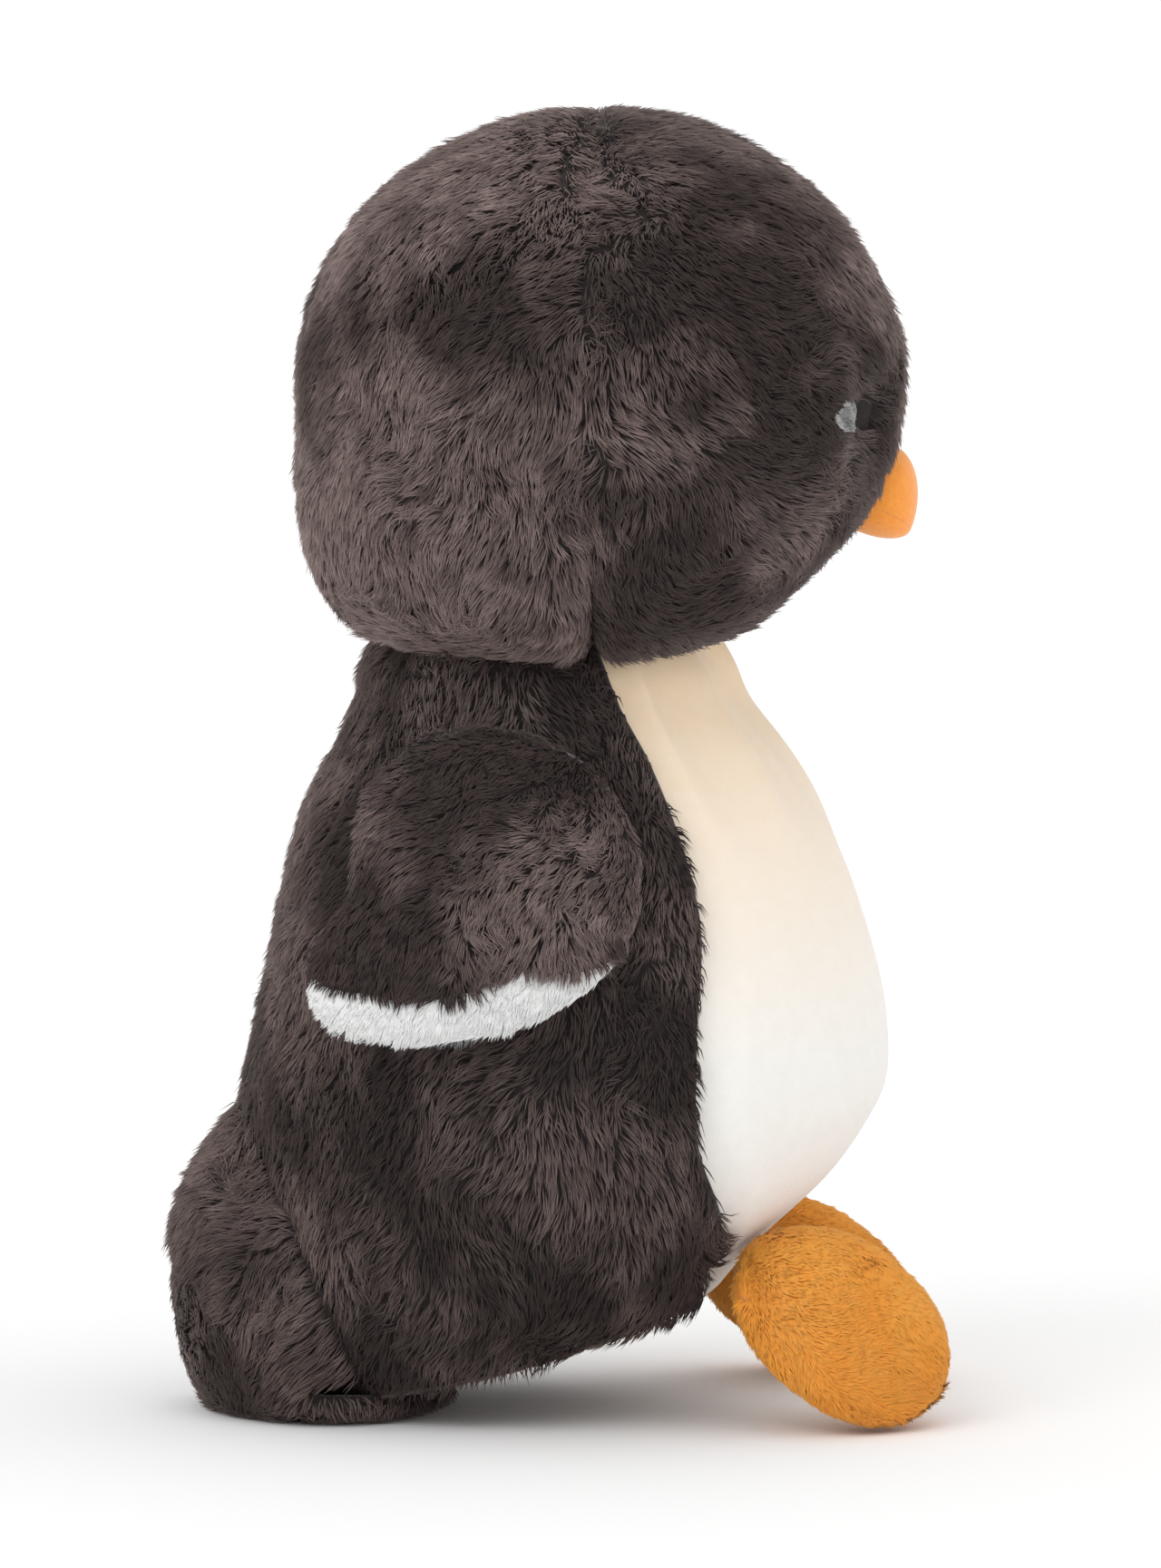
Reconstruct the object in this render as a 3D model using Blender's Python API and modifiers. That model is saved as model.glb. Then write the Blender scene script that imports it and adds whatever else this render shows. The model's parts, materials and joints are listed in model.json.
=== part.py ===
"""Plush penguin that stands on its two feet and its tail: sewn pile panels over stuffing.

Metres, +Z up. The penguin faces -Y and its right side is at -X. The origin lies on the ground,
under the middle of the toy's bounding box. Every sewn panel is an open surface made solid inward,
and the stuffing inside it is a closed solid of its own.
"""
import math

import bmesh
import bpy
import numpy as np
from mathutils import Matrix, Vector

RIGHT, LEFT = -1, 1
SIDES = ((RIGHT, "right"), (LEFT, "left"))

# Fabric and clearances
PILE = 0.0030            # long pile plush with its backing, as a pressed-down sheet
VELOUR = 0.0018          # short pile of the belly
FELT = 0.0012            # beak and eye patches
SEAM_GAP = 0.0006        # half the gap between two panels that are sewn together
RIM_GAP = 0.0017         # the same at the rims of wings and feet, where two shallow domes meet
FILL_GAP = 0.0013        # from a panel's inner side to the stuffing

# Head: an ellipsoid whose underside is fuller, most of all at the nape
HEAD_CENTRE = Vector((0.0, -0.0117, 0.2355))
HEAD_HALF = Vector((0.0740, 0.0700, 0.0645))
CHIN_POWER = 2.05
NAPE_POWER = 4.2
HEAD_SEAM_TURN = math.radians(98)     # ear-to-ear seam, as an angle from the face
HEAD_OPENING_RISE = math.radians(-62) # rim of the neck opening, as an angle below the middle

# Body rows: height, back, front, half width, belly seam angle (degrees from the front)
BODY_ROWS = (
    (0.026, 0.0610, -0.0465, 0.0555, 38),
    (0.042, 0.0700, -0.0655, 0.0655, 55),
    (0.060, 0.0735, -0.0760, 0.0700, 67),
    (0.088, 0.0690, -0.0788, 0.0700, 71),
    (0.120, 0.0620, -0.0707, 0.0630, 67),
    (0.140, 0.0560, -0.0605, 0.0560, 67),
    (0.153, 0.0490, -0.0520, 0.0492, 69),
    (0.164, 0.0440, -0.0440, 0.0425, 71),
)
HEM_HEIGHT = BODY_ROWS[0][0]
NECK_HEIGHT = BODY_ROWS[-1][0]
HEM_SLOPE = 0.27         # the hem drops this much for each metre towards the back
HEM_PIVOT = -0.0072      # the Y where the hem is at its own height
LEVEL_HEIGHT = 0.095     # from here up the rows are level
SEAT_DROP = 0.0034       # the seat panel's rim below the hem
SEAT_BULGE = 0.0050
BODY_FILL_ENDS = (0.0520, 0.1600)
BODY_FILL_BLUNTNESS = 0.45

# Pellet bag low in the body, tilted with the hem and left open at its top, where the pellets show
BAG_MIDDLE = Vector((0.0, 0.0030, 0.0335))
BAG_HALF = Vector((0.0440, 0.0420, 0.0095))
BAG_CLOTH = 0.0008
BAG_OPENING_RISE = math.radians(84)
PELLET_GAP = 0.0028

# Neck
NECK_PIVOT = Vector((0.0, -0.0022, 0.1680))
NECK_PLUG_RADIUS = 0.0260
NECK_PLUG_ENDS = (0.1515, 0.1800)
NECK_RECESS_RADIUS = 0.0330
NECK_RECESS_ENDS = (0.1440, 0.1865)
THREAD_RADIUS = 0.0008
THREAD_RING_RADIUS = 0.0278

# Eyes: a bead on a stem through patch and face panel, held by a washer
EYE_TURN = math.radians(33)
EYE_RISE = math.radians(-4.5)
EYE_PATCH_RADIUS = 0.0090
EYE_PATCH_LIFT = 0.0024  # patch's middle above the face
EYE_PATCH_DROP = 0.0004  # its rim below its middle
EYE_STEM_RADIUS = 0.0016
EYE_HOLE_RADIUS = 0.0021
EYE_STEM_END = -0.0085
EYE_BEAD_RADIUS = 0.0048
EYE_BEAD_HEIGHT = 0.0034
EYE_POCKET_RADIUS = 0.0088
EYE_POCKET_END = -0.0105
WASHER_HOLE_RADIUS = 0.0021
WASHER_RADIUS = 0.0062
WASHER_ENDS = (-0.0056, -0.0042)

# Beak: a hooked dome over an oval base on the face
BEAK_BASE = Vector((0.0, -0.0790, 0.2130))
BEAK_UP = Vector((0.0, -0.385, 0.923)).normalized()
BEAK_OUT = Vector((0.0, -0.923, -0.385)).normalized()
BEAK_HALF_WIDTH = 0.0130
BEAK_HALF_HEIGHT = 0.0110
BEAK_LENGTH = 0.0088
BEAK_HOOK = 0.0085       # how far the tip hangs below the middle of the base
BEAK_FACE_CURVE = 7.0    # how fast its base follows the face round, per metre
BEAK_FILL_MIDDLE = (0.0036, -0.0030)        # outward and upward from the base
BEAK_FILL_HALF = (0.0080, 0.0019, 0.0040)   # across, outward, upward

# Wings: polar outline about a middle, angle 0 backwards and 90 upwards
WING_MIDDLE = (0.0198, 0.1235)
WING_OUTLINE = (
    (0, 0.0327), (20, 0.0330), (45, 0.0375), (90, 0.0372), (125, 0.0405), (160, 0.0385),
    (200, 0.0350), (240, 0.0310), (280, 0.0340), (305, 0.0410), (325, 0.0482), (340, 0.0440),
)
WING_STANDOFF = 0.0066   # the wing's edge outside the body's half width
WING_INNER_DOME = 0.0040
WING_OUTER_DOME = 0.0072
WING_WRAP = 4.0          # how far the back of the wing follows the body round, per metre
WING_WRAP_START = 0.0030
WING_FILL_GAP = 0.0026
WING_OUTER_CLOTH = 0.0018
WING_INNER_CLOTH = 0.0015
RIM_FILL_REACH = 0.84    # how far the stuffing of a wing or foot reaches towards its rim
WING_AXIS_POINT = Vector((0.0500, 0.0100, 0.1610))

# Feet: polar outline about a middle, angle 0 towards the toes
FOOT_MIDDLE = Vector((0.0420, -0.0595, 0.0256))
FOOT_OUTLINE = (
    (0, 0.0335), (40, 0.0325), (80, 0.0275), (130, 0.0235), (180, 0.0232),
    (230, 0.0235), (280, 0.0275), (320, 0.0325),
)
FOOT_SPLAY = math.radians(12)
FOOT_PITCH = math.radians(38)
FOOT_ROLL = math.radians(28)
FOOT_TOP_DOME = 0.0125
FOOT_SOLE_DOME = 0.0105
FOOT_CLOTH = 0.0018
FOOT_PIVOT = Vector((0.0430, -0.0430, 0.0460))

# Tail: an upturned dish behind and under the seat, covered by an upper panel
TAIL_MIDDLE_Y = 0.0548
TAIL_HALF_WIDTH = 0.0390
TAIL_HALF_DEPTH = 0.0329
TAIL_RIM_FRONT = 0.0055
TAIL_RIM_RISE = 0.0350   # how much higher the rim is at the tip
TAIL_SIDE_RISE = 0.0018   # and at the sides
TAIL_FLAT = 0.62         # part of the dish that lies on the ground
TAIL_ROUND = math.radians(110)
TAIL_TOP_RISE = 0.0300   # from the rim up the back, at the middle
TAIL_SPREAD = 0.46       # how far round the back the upper panel reaches
TAIL_END_ANGLE = math.radians(84)           # its ends, round the rim from the tip
TAIL_BULGE = 0.0025
TAIL_STANDOFF = 0.0038   # its upper edge off the back panels
TAIL_CLOTH = 0.0024
TAIL_FILL_MIDDLE = Vector((0.0, 0.0778, 0.0270))
TAIL_FILL_HALF = Vector((0.0200, 0.0030, 0.0110))


def smoothstep(start, end, value):
    part = min(max((value - start) / (end - start), 0.0), 1.0)
    return part * part * (3.0 - 2.0 * part)


def smooth_rows(rows, at):
    """The rows' values at a key, on a smooth curve through them."""
    keys = np.array([row[0] for row in rows], dtype=float)
    values = np.array([row[1:] for row in rows], dtype=float)
    slopes = np.gradient(values, keys, axis=0)
    low = int(min(max(np.searchsorted(keys, at) - 1, 0), len(keys) - 2))
    step = keys[low + 1] - keys[low]
    part = min(max((at - keys[low]) / step, 0.0), 1.0)
    start = values[low] * (1 + 2 * part) * (1 - part) ** 2
    end = values[low + 1] * part ** 2 * (3 - 2 * part)
    leave = slopes[low] * step * part * (1 - part) ** 2
    arrive = slopes[low + 1] * step * part ** 2 * (part - 1)
    return start + end + leave + arrive


def smooth_outline(points, angle):
    """Radius of a closed polar outline at an angle in radians."""
    degrees = math.degrees(angle) % 360
    before = tuple((at - 360, radius) for at, radius in points[-2:])
    after = tuple((at + 360, radius) for at, radius in points[:3])
    return float(smooth_rows(before + points + after, degrees)[0])


# Objects

def clear_scene():
    for item in list(bpy.data.objects):
        bpy.data.objects.remove(item, do_unlink=True)


def make_material(name, colour, roughness, metallic=0.0):
    material = bpy.data.materials.new(name)
    material.use_nodes = True
    shader = material.node_tree.nodes["Principled BSDF"]
    shader.inputs["Base Color"].default_value = (*colour, 1.0)
    shader.inputs["Roughness"].default_value = roughness
    shader.inputs["Metallic"].default_value = metallic
    material.diffuse_color = (*colour, 1.0)
    return material


def add_object(name, shape, material, parent, collection):
    """Turn a bmesh, built in world space, into an object under its parent."""
    mesh = bpy.data.meshes.new(name)
    shape.to_mesh(mesh)
    shape.free()
    piece = bpy.data.objects.new(name, mesh)
    collection.objects.link(piece)
    if material is not None:
        mesh.materials.append(material)
    mesh.shade_smooth()
    mesh.set_sharp_from_angle(angle=math.radians(50))
    if parent is not None:
        piece.parent = parent
        piece.matrix_parent_inverse = Matrix.Translation(parent.location).inverted()
    return piece


def add_pivot(name, location, parent, collection):
    """An empty on a joint's axis, which carries the pieces of its moving part."""
    pivot = bpy.data.objects.new(name, None)
    collection.objects.link(pivot)
    pivot.empty_display_size = 0.01
    pivot.location = location
    if parent is not None:
        pivot.parent = parent
        pivot.matrix_parent_inverse = Matrix.Translation(parent.location).inverted()
    return pivot


def make_solid(piece, thickness):
    solidify = piece.modifiers.new("thickness", "SOLIDIFY")
    solidify.thickness = thickness
    solidify.offset = -1.0
    return piece


def cut(piece, cutter):
    boolean = piece.modifiers.new("cut", "BOOLEAN")
    boolean.operation = "DIFFERENCE"
    boolean.object = cutter
    boolean.solver = "EXACT"


# Shapes

def face_outward(shape, centre):
    """Turn an open surface's faces away from a centre."""
    shape.normal_update()
    facing = sum(face.normal.dot(face.calc_center_median() - centre) for face in shape.faces)
    if facing < 0:
        bmesh.ops.reverse_faces(shape, faces=shape.faces)


def turned_out(shape):
    """A closed form with its faces outward."""
    if shape.calc_volume(signed=True) < 0:
        bmesh.ops.reverse_faces(shape, faces=shape.faces)
    return shape


def grid_surface(columns, rows, place, centre):
    """A rectangular patch laid on a surface: place(across, up) with both from 0 to 1."""
    shape = bmesh.new()
    bmesh.ops.create_grid(shape, x_segments=columns, y_segments=rows, size=0.5)
    for vertex in shape.verts:
        vertex.co = place(vertex.co.x + 0.5, vertex.co.y + 0.5)
    face_outward(shape, centre)
    return shape


def dome_surface(rings, segments, place, centre):
    """A round patch laid on a surface: place(reach, angle), reach 0 at its middle and 1 at its rim."""
    shape = bmesh.new()
    bmesh.ops.create_uvsphere(shape, u_segments=segments, v_segments=2 * rings, radius=1.0)
    lower = [vertex for vertex in shape.verts if vertex.co.z < -1e-4]
    bmesh.ops.delete(shape, geom=lower, context="VERTS")
    for vertex in shape.verts:
        reach = math.acos(min(max(vertex.co.z, -1.0), 1.0)) / (math.pi / 2)
        vertex.co = place(math.sin(min(reach, 1.0) * math.pi / 2), math.atan2(vertex.co.y, vertex.co.x))
    face_outward(shape, centre)
    return shape


def pillow_solid(rings, segments, place):
    """A closed stuffed form: place(reach, angle, face), face +1 on its outer side and -1 inside."""
    shape = bmesh.new()
    bmesh.ops.create_uvsphere(shape, u_segments=segments, v_segments=2 * rings, radius=1.0)
    for vertex in shape.verts:
        tilt = math.acos(min(max(vertex.co.z, -1.0), 1.0)) / (math.pi / 2)
        reach = math.sin(min(tilt, 2.0 - tilt) * math.pi / 2)
        face = 1 if tilt <= 1.0 else -1
        vertex.co = place(reach, math.atan2(vertex.co.y, vertex.co.x), face)
    return turned_out(shape)


def ball_solid(segments, rings, place):
    """A closed ball laid on a surface: place(turn, rise)."""
    shape = bmesh.new()
    bmesh.ops.create_uvsphere(shape, u_segments=segments, v_segments=rings, radius=1.0)
    for vertex in shape.verts:
        rise = math.asin(min(max(vertex.co.z, -1.0), 1.0))
        vertex.co = place(math.atan2(vertex.co.x, -vertex.co.y), rise)
    return turned_out(shape)


def cylinder(radius, ends, centre, segments):
    """A vertical cylinder between two heights."""
    shape = bmesh.new()
    middle = Vector((centre.x, centre.y, (ends[0] + ends[1]) / 2))
    bmesh.ops.create_cone(
        shape, cap_ends=True, segments=segments, radius1=radius, radius2=radius,
        depth=ends[1] - ends[0], matrix=Matrix.Translation(middle))
    return shape


def turned(name, profile, frame, segments, material, parent, collection):
    """A piece turned about its own Z axis, from a profile that runs down its outer side."""
    shape = bmesh.new()
    closed = profile[0] == profile[-1]
    points = profile[:-1] if closed else profile
    vertices = [shape.verts.new((radius, 0.0, height)) for radius, height in points]
    for start, end in zip(vertices, vertices[1:]):
        shape.edges.new((start, end))
    if closed:
        shape.edges.new((vertices[-1], vertices[0]))
    piece = add_object(name, shape, material, None, collection)
    screw = piece.modifiers.new("turn", "SCREW")
    screw.axis = "Z"
    screw.steps = segments
    screw.render_steps = segments
    screw.use_merge_vertices = True
    screw.merge_threshold = 0.00005
    piece.matrix_world = frame
    piece.parent = parent
    piece.matrix_parent_inverse = Matrix.Translation(parent.location).inverted()
    return piece


# The toy's own surfaces

def head_point(turn, rise, inset=0.0):
    """The head's outside: turn from the face towards the left side, rise above the middle."""
    power = 2.0
    if rise < 0:
        nape = (1 - math.cos(turn)) / 2
        power = CHIN_POWER + (NAPE_POWER - CHIN_POWER) * nape
    level, around = abs(math.sin(rise)), abs(math.cos(rise))
    fullness = (level ** power + around ** power) ** (-1 / power)
    half = HEAD_HALF - Vector((inset, inset, inset))
    return HEAD_CENTRE + Vector((
        half.x * math.cos(rise) * fullness * math.sin(turn),
        -half.y * math.cos(rise) * fullness * math.cos(turn),
        half.z * math.sin(rise) * fullness))


def body_point(turn, height, inset=0.0):
    """The body's outside: turn from the front towards the left side, at a row's height."""
    back, front, half_width, _ = smooth_rows(BODY_ROWS, height)
    y = (back + front) / 2 - ((back - front) / 2 - inset) * math.cos(turn)
    slope = HEM_SLOPE * (1 - smoothstep(HEM_HEIGHT, LEVEL_HEIGHT, height))
    return Vector(((half_width - inset) * math.sin(turn), y, height - slope * (y - HEM_PIVOT)))


def belly_seam(height):
    return math.radians(smooth_rows(BODY_ROWS, height)[3])


def seat_point(reach, angle, inset=0.0):
    """The seat: a slanting oval that sags below the hem and never goes below the ground."""
    hem = body_point(angle, HEM_HEIGHT, inset)
    front, back = body_point(0, HEM_HEIGHT), body_point(math.pi, HEM_HEIGHT)
    middle = (front + back) / 2
    point = middle + (hem - middle) * reach
    point.z += inset - SEAT_DROP - SEAT_BULGE * (1 - reach ** 2)
    return Vector((point.x, point.y, max(point.z, inset)))


def tail_rim(angle):
    """The seam round the tail's dish, angle 0 at the tip."""
    height = TAIL_RIM_FRONT + TAIL_RIM_RISE * max(math.cos(angle), 0.0) ** 1.5
    height += TAIL_SIDE_RISE * math.sin(angle) ** 4
    return Vector((
        TAIL_HALF_WIDTH * math.sin(angle),
        TAIL_MIDDLE_Y + TAIL_HALF_DEPTH * math.cos(angle),
        height))


def tail_dish_point(reach, angle):
    """The tail's underside: flat on the ground, then rounded up to the rim."""
    rim = tail_rim(angle)
    bend = TAIL_ROUND * min(max((reach - 0.5) / 0.5, 0.0), 1.0)
    spread = TAIL_FLAT * min(reach / 0.5, 1.0) + (1.02 - TAIL_FLAT) * math.sin(bend)
    lift = (1 - math.cos(bend)) / (1 - math.cos(TAIL_ROUND))
    middle = Vector((0.0, TAIL_MIDDLE_Y, 0.0))
    flat = (Vector((rim.x, rim.y, 0.0)) - middle) * spread + middle
    return Vector((flat.x, flat.y, rim.z * lift))


def wing_point(side, reach, angle, lift):
    """A point of a wing: lift is the height of its dome, outward when positive."""
    radius = reach * smooth_outline(WING_OUTLINE, angle)
    y = WING_MIDDLE[0] + radius * math.cos(angle)
    z = WING_MIDDLE[1] + radius * math.sin(angle)
    half_width = smooth_rows(BODY_ROWS, min(z, NECK_HEIGHT))[2]
    wrap = WING_WRAP * max(y - WING_WRAP_START, 0.0) ** 2
    x = half_width + WING_STANDOFF - wrap + lift * dome_height(reach)
    return Vector((side * x, y, z))


def dome_height(reach):
    return math.sqrt(max(1.0 - reach ** 2, 0.0))


def foot_frame(side):
    """A foot's own axes: toes, across and up, as a matrix at its middle."""
    turn = Matrix.Rotation(side * FOOT_SPLAY, 3, "Z")
    pitch = Matrix.Rotation(FOOT_PITCH, 3, "X")
    roll = Matrix.Rotation(side * FOOT_ROLL, 3, "Y")
    frame = (turn @ pitch @ roll).to_4x4()
    frame.translation = Vector((side * FOOT_MIDDLE.x, FOOT_MIDDLE.y, FOOT_MIDDLE.z))
    return frame


def foot_point(side, reach, angle, lift):
    """A point of a foot; its local -Y points at the toes."""
    radius = reach * smooth_outline(FOOT_OUTLINE, angle)
    local = Vector((radius * math.sin(angle), -radius * math.cos(angle), lift * dome_height(reach)))
    point = foot_frame(side) @ local
    return Vector((point.x, point.y, max(point.z, 0.0)))


def beak_point(reach, angle):
    """The beak's outside: a dome whose top leans down into a hook."""
    out = BEAK_LENGTH * math.sqrt(max(1.0 - reach ** 2.6, 0.0))
    sink = BEAK_HOOK * (out / BEAK_LENGTH) ** 1.5
    local_up = BEAK_HALF_HEIGHT * reach * math.sin(angle) * (1 - 0.12 * out / BEAK_LENGTH)
    wide = BEAK_HALF_WIDTH * reach * math.cos(angle)
    return BEAK_BASE + Vector((wide, BEAK_FACE_CURVE * wide ** 2, 0.0)) + BEAK_UP * (local_up - sink) + BEAK_OUT * out


# Sub-parts

def build_head(parts, cutters, materials, pivot):
    """Four panels that meet at the crown, their stuffing, and the openings for neck and eyes."""
    plush = materials["dark_plush"]
    quarters = (("face", 0.0, HEAD_SEAM_TURN, -SEAM_GAP), ("back", HEAD_SEAM_TURN, math.pi, SEAM_GAP))
    faces = {}
    for side, side_name in SIDES:
        for part, first, last, shift in quarters:
            offset = Vector((side * SEAM_GAP, shift, 0.0))

            def place(across, up):
                turn = side * (first + (last - first) * across)
                rise = HEAD_OPENING_RISE + (math.radians(88) - HEAD_OPENING_RISE) * up
                return head_point(turn, rise) + offset

            shape = grid_surface(8, 11, place, HEAD_CENTRE)
            piece = make_solid(add_object(f"head_{part}_{side_name}", shape, plush, pivot, parts), PILE)
            if part == "face":
                faces[side] = piece

    fill = PILE + FILL_GAP
    shape = ball_solid(16, 12, lambda turn, rise: head_point(turn, rise, fill))
    stuffing = add_object("head_stuffing", shape, materials["fibre"], pivot, parts)
    recess = cylinder(NECK_RECESS_RADIUS, NECK_RECESS_ENDS, NECK_PIVOT, 32)
    recess_cutter = add_object("neck_recess_cutter", recess, None, pivot, cutters)
    cut(stuffing, recess_cutter)
    return faces, stuffing


def eye_frame(side):
    """Axes on the face at an eye: Z points straight out."""
    step = 0.02
    point = head_point(side * EYE_TURN, EYE_RISE)
    along = head_point(side * EYE_TURN + step, EYE_RISE) - head_point(side * EYE_TURN - step, EYE_RISE)
    rise = head_point(side * EYE_TURN, EYE_RISE + step) - head_point(side * EYE_TURN, EYE_RISE - step)
    out = along.cross(rise).normalized()
    frame = out.to_track_quat("Z", "Y").to_matrix().to_4x4()
    frame.translation = point
    return frame


def build_eye(side, side_name, parts, cutters, materials, pivot, face, stuffing):
    frame = eye_frame(side)
    hole = cylinder(EYE_HOLE_RADIUS, (EYE_POCKET_END, EYE_BEAD_RADIUS), Vector(), 20)
    hole_cutter = add_object(f"eye_hole_cutter_{side_name}", hole, None, None, cutters)
    hole_cutter.matrix_world = frame
    pocket = cylinder(EYE_POCKET_RADIUS, (EYE_POCKET_END, EYE_BEAD_RADIUS), Vector(), 20)
    pocket_cutter = add_object(f"eye_pocket_cutter_{side_name}", pocket, None, None, cutters)
    pocket_cutter.matrix_world = frame
    cut(face, hole_cutter)
    cut(stuffing, pocket_cutter)

    rim, top = EYE_PATCH_RADIUS, EYE_PATCH_LIFT
    patch = [(EYE_HOLE_RADIUS, top), (rim, top - EYE_PATCH_DROP), (rim, top - FELT - EYE_PATCH_DROP),
             (EYE_HOLE_RADIUS, top - FELT), (EYE_HOLE_RADIUS, top)]
    turned(f"eye_patch_{side_name}", patch, frame, 16, materials["white_felt"], pivot, parts)

    base = top + EYE_PATCH_DROP
    bead = [(0.0, base + EYE_BEAD_HEIGHT)]
    for step in range(1, 5):
        bend = math.radians(22.5 * step)
        bead.append((EYE_BEAD_RADIUS * math.sin(bend), base + EYE_BEAD_HEIGHT * math.cos(bend)))
    bead += [(EYE_STEM_RADIUS, base), (EYE_STEM_RADIUS, EYE_STEM_END), (0.0, EYE_STEM_END)]
    turned(f"eye_bead_{side_name}", bead, frame, 14, materials["black_gloss"], pivot, parts)

    low, high = WASHER_ENDS
    washer = [(WASHER_HOLE_RADIUS, high), (WASHER_RADIUS, high), (WASHER_RADIUS, low),
              (WASHER_HOLE_RADIUS, low), (WASHER_HOLE_RADIUS, high)]
    turned(f"eye_washer_{side_name}", washer, frame, 12, materials["clear_plastic"], pivot, parts)


def build_beak(parts, materials, pivot):
    """Upper and lower panel, cut from one dome along the seam at the beak's corners, and its fill."""
    seam_normal = (BEAK_UP * 0.9 + BEAK_OUT * 0.45).normalized()
    inside = BEAK_BASE - BEAK_OUT * 0.004
    for name, sign in (("beak_upper_panel", 1), ("beak_lower_panel", -1)):
        shape = dome_surface(5, 20, beak_point, inside)
        bmesh.ops.bisect_plane(
            shape, geom=shape.verts[:] + shape.edges[:] + shape.faces[:],
            plane_co=BEAK_BASE + seam_normal * sign * SEAM_GAP, plane_no=seam_normal * sign,
            clear_inner=True)
        make_solid(add_object(name, shape, materials["orange_felt"], pivot, parts), FELT)

    def fill(turn, rise):
        wide = BEAK_FILL_HALF[0] * math.cos(rise) * math.sin(turn)
        out = BEAK_FILL_MIDDLE[0] - BEAK_FILL_HALF[1] * math.cos(rise) * math.cos(turn)
        up = BEAK_FILL_MIDDLE[1] + BEAK_FILL_HALF[2] * math.sin(rise)
        return BEAK_BASE + Vector((wide, 0.0, 0.0)) + BEAK_OUT * out + BEAK_UP * up

    add_object("beak_stuffing", ball_solid(14, 8, fill), materials["fibre"], pivot, parts)


def build_neck(parts, materials, pivot):
    """The firm plug of stuffing that carries the head, and the drawn thread round it."""
    plug = cylinder(NECK_PLUG_RADIUS, NECK_PLUG_ENDS, NECK_PIVOT, 28)
    add_object("neck_plug", plug, materials["fibre"], pivot, parts)
    bpy.ops.mesh.primitive_torus_add(
        major_radius=THREAD_RING_RADIUS, minor_radius=THREAD_RADIUS,
        major_segments=24, minor_segments=4, location=NECK_PIVOT)
    torus = bpy.context.object
    shape = bmesh.new()
    shape.from_mesh(torus.data)
    shape.transform(torus.matrix_world)
    bpy.data.objects.remove(torus, do_unlink=True)
    add_object("neck_thread", shape, materials["thread"], pivot, parts)


def build_body(parts, cutters, materials):
    """Belly, two back panels and seat, with the stuffing between them."""
    centre = Vector((0.0, -0.005, 0.085))
    span = NECK_HEIGHT - HEM_HEIGHT

    def belly(across, up):
        height = HEM_HEIGHT + span * up
        return body_point((2 * across - 1) * belly_seam(height), height) + Vector((0, -SEAM_GAP, 0))

    shape = grid_surface(12, 12, belly, centre)
    make_solid(add_object("belly_panel", shape, materials["cream_velour"], None, parts), VELOUR)

    for side, side_name in SIDES:
        def back(across, up):
            height = HEM_HEIGHT + span * up
            seam = belly_seam(height)
            turn = seam + (math.pi - seam) * across
            return body_point(side * turn, height) + Vector((side * SEAM_GAP, SEAM_GAP, 0))

        shape = grid_surface(9, 12, back, centre)
        make_solid(add_object(f"back_panel_{side_name}", shape, materials["dark_plush"], None, parts), PILE)

    shape = dome_surface(4, 24, seat_point, centre)
    make_solid(add_object("seat_panel", shape, materials["dark_plush"], None, parts), PILE)

    fill = PILE + FILL_GAP
    bottom, top = BODY_FILL_ENDS

    def stuffing_point(turn, rise):
        height = (bottom + top) / 2 + (top - bottom) / 2 * math.sin(rise)
        edge = max(math.cos(rise), 0.0) ** BODY_FILL_BLUNTNESS
        point = body_point(turn, height, fill)
        middle = (body_point(0, height, fill) + body_point(math.pi, height, fill)) / 2
        return middle + (point - middle) * edge

    shape = ball_solid(22, 12, stuffing_point)
    stuffing = add_object("body_stuffing", shape, materials["fibre"], None, parts)
    recess = cylinder(NECK_RECESS_RADIUS, NECK_RECESS_ENDS, NECK_PIVOT, 32)
    cut(stuffing, add_object("body_recess_cutter", recess, None, None, cutters))


def build_pellets(parts, materials):
    tilt = Matrix.Rotation(-math.atan(HEM_SLOPE), 3, "X")

    def bag_point(turn, rise, inset=0.0):
        half = BAG_HALF - Vector((inset, inset, inset))
        return BAG_MIDDLE + tilt @ Vector((
            half.x * math.cos(rise) * math.sin(turn),
            -half.y * math.cos(rise) * math.cos(turn),
            half.z * math.sin(rise)))

    def open_bag(reach, angle):
        part = math.asin(reach) / (math.pi / 2)
        return bag_point(angle, (math.pi / 2 + BAG_OPENING_RISE) * part - math.pi / 2)

    shape = dome_surface(6, 16, open_bag, BAG_MIDDLE)
    make_solid(add_object("pellet_bag", shape, materials["calico"], None, parts), BAG_CLOTH)
    shape = ball_solid(16, 8, lambda turn, rise: bag_point(turn, rise, PELLET_GAP))
    add_object("pellets", shape, materials["pellets"], None, parts)


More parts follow.
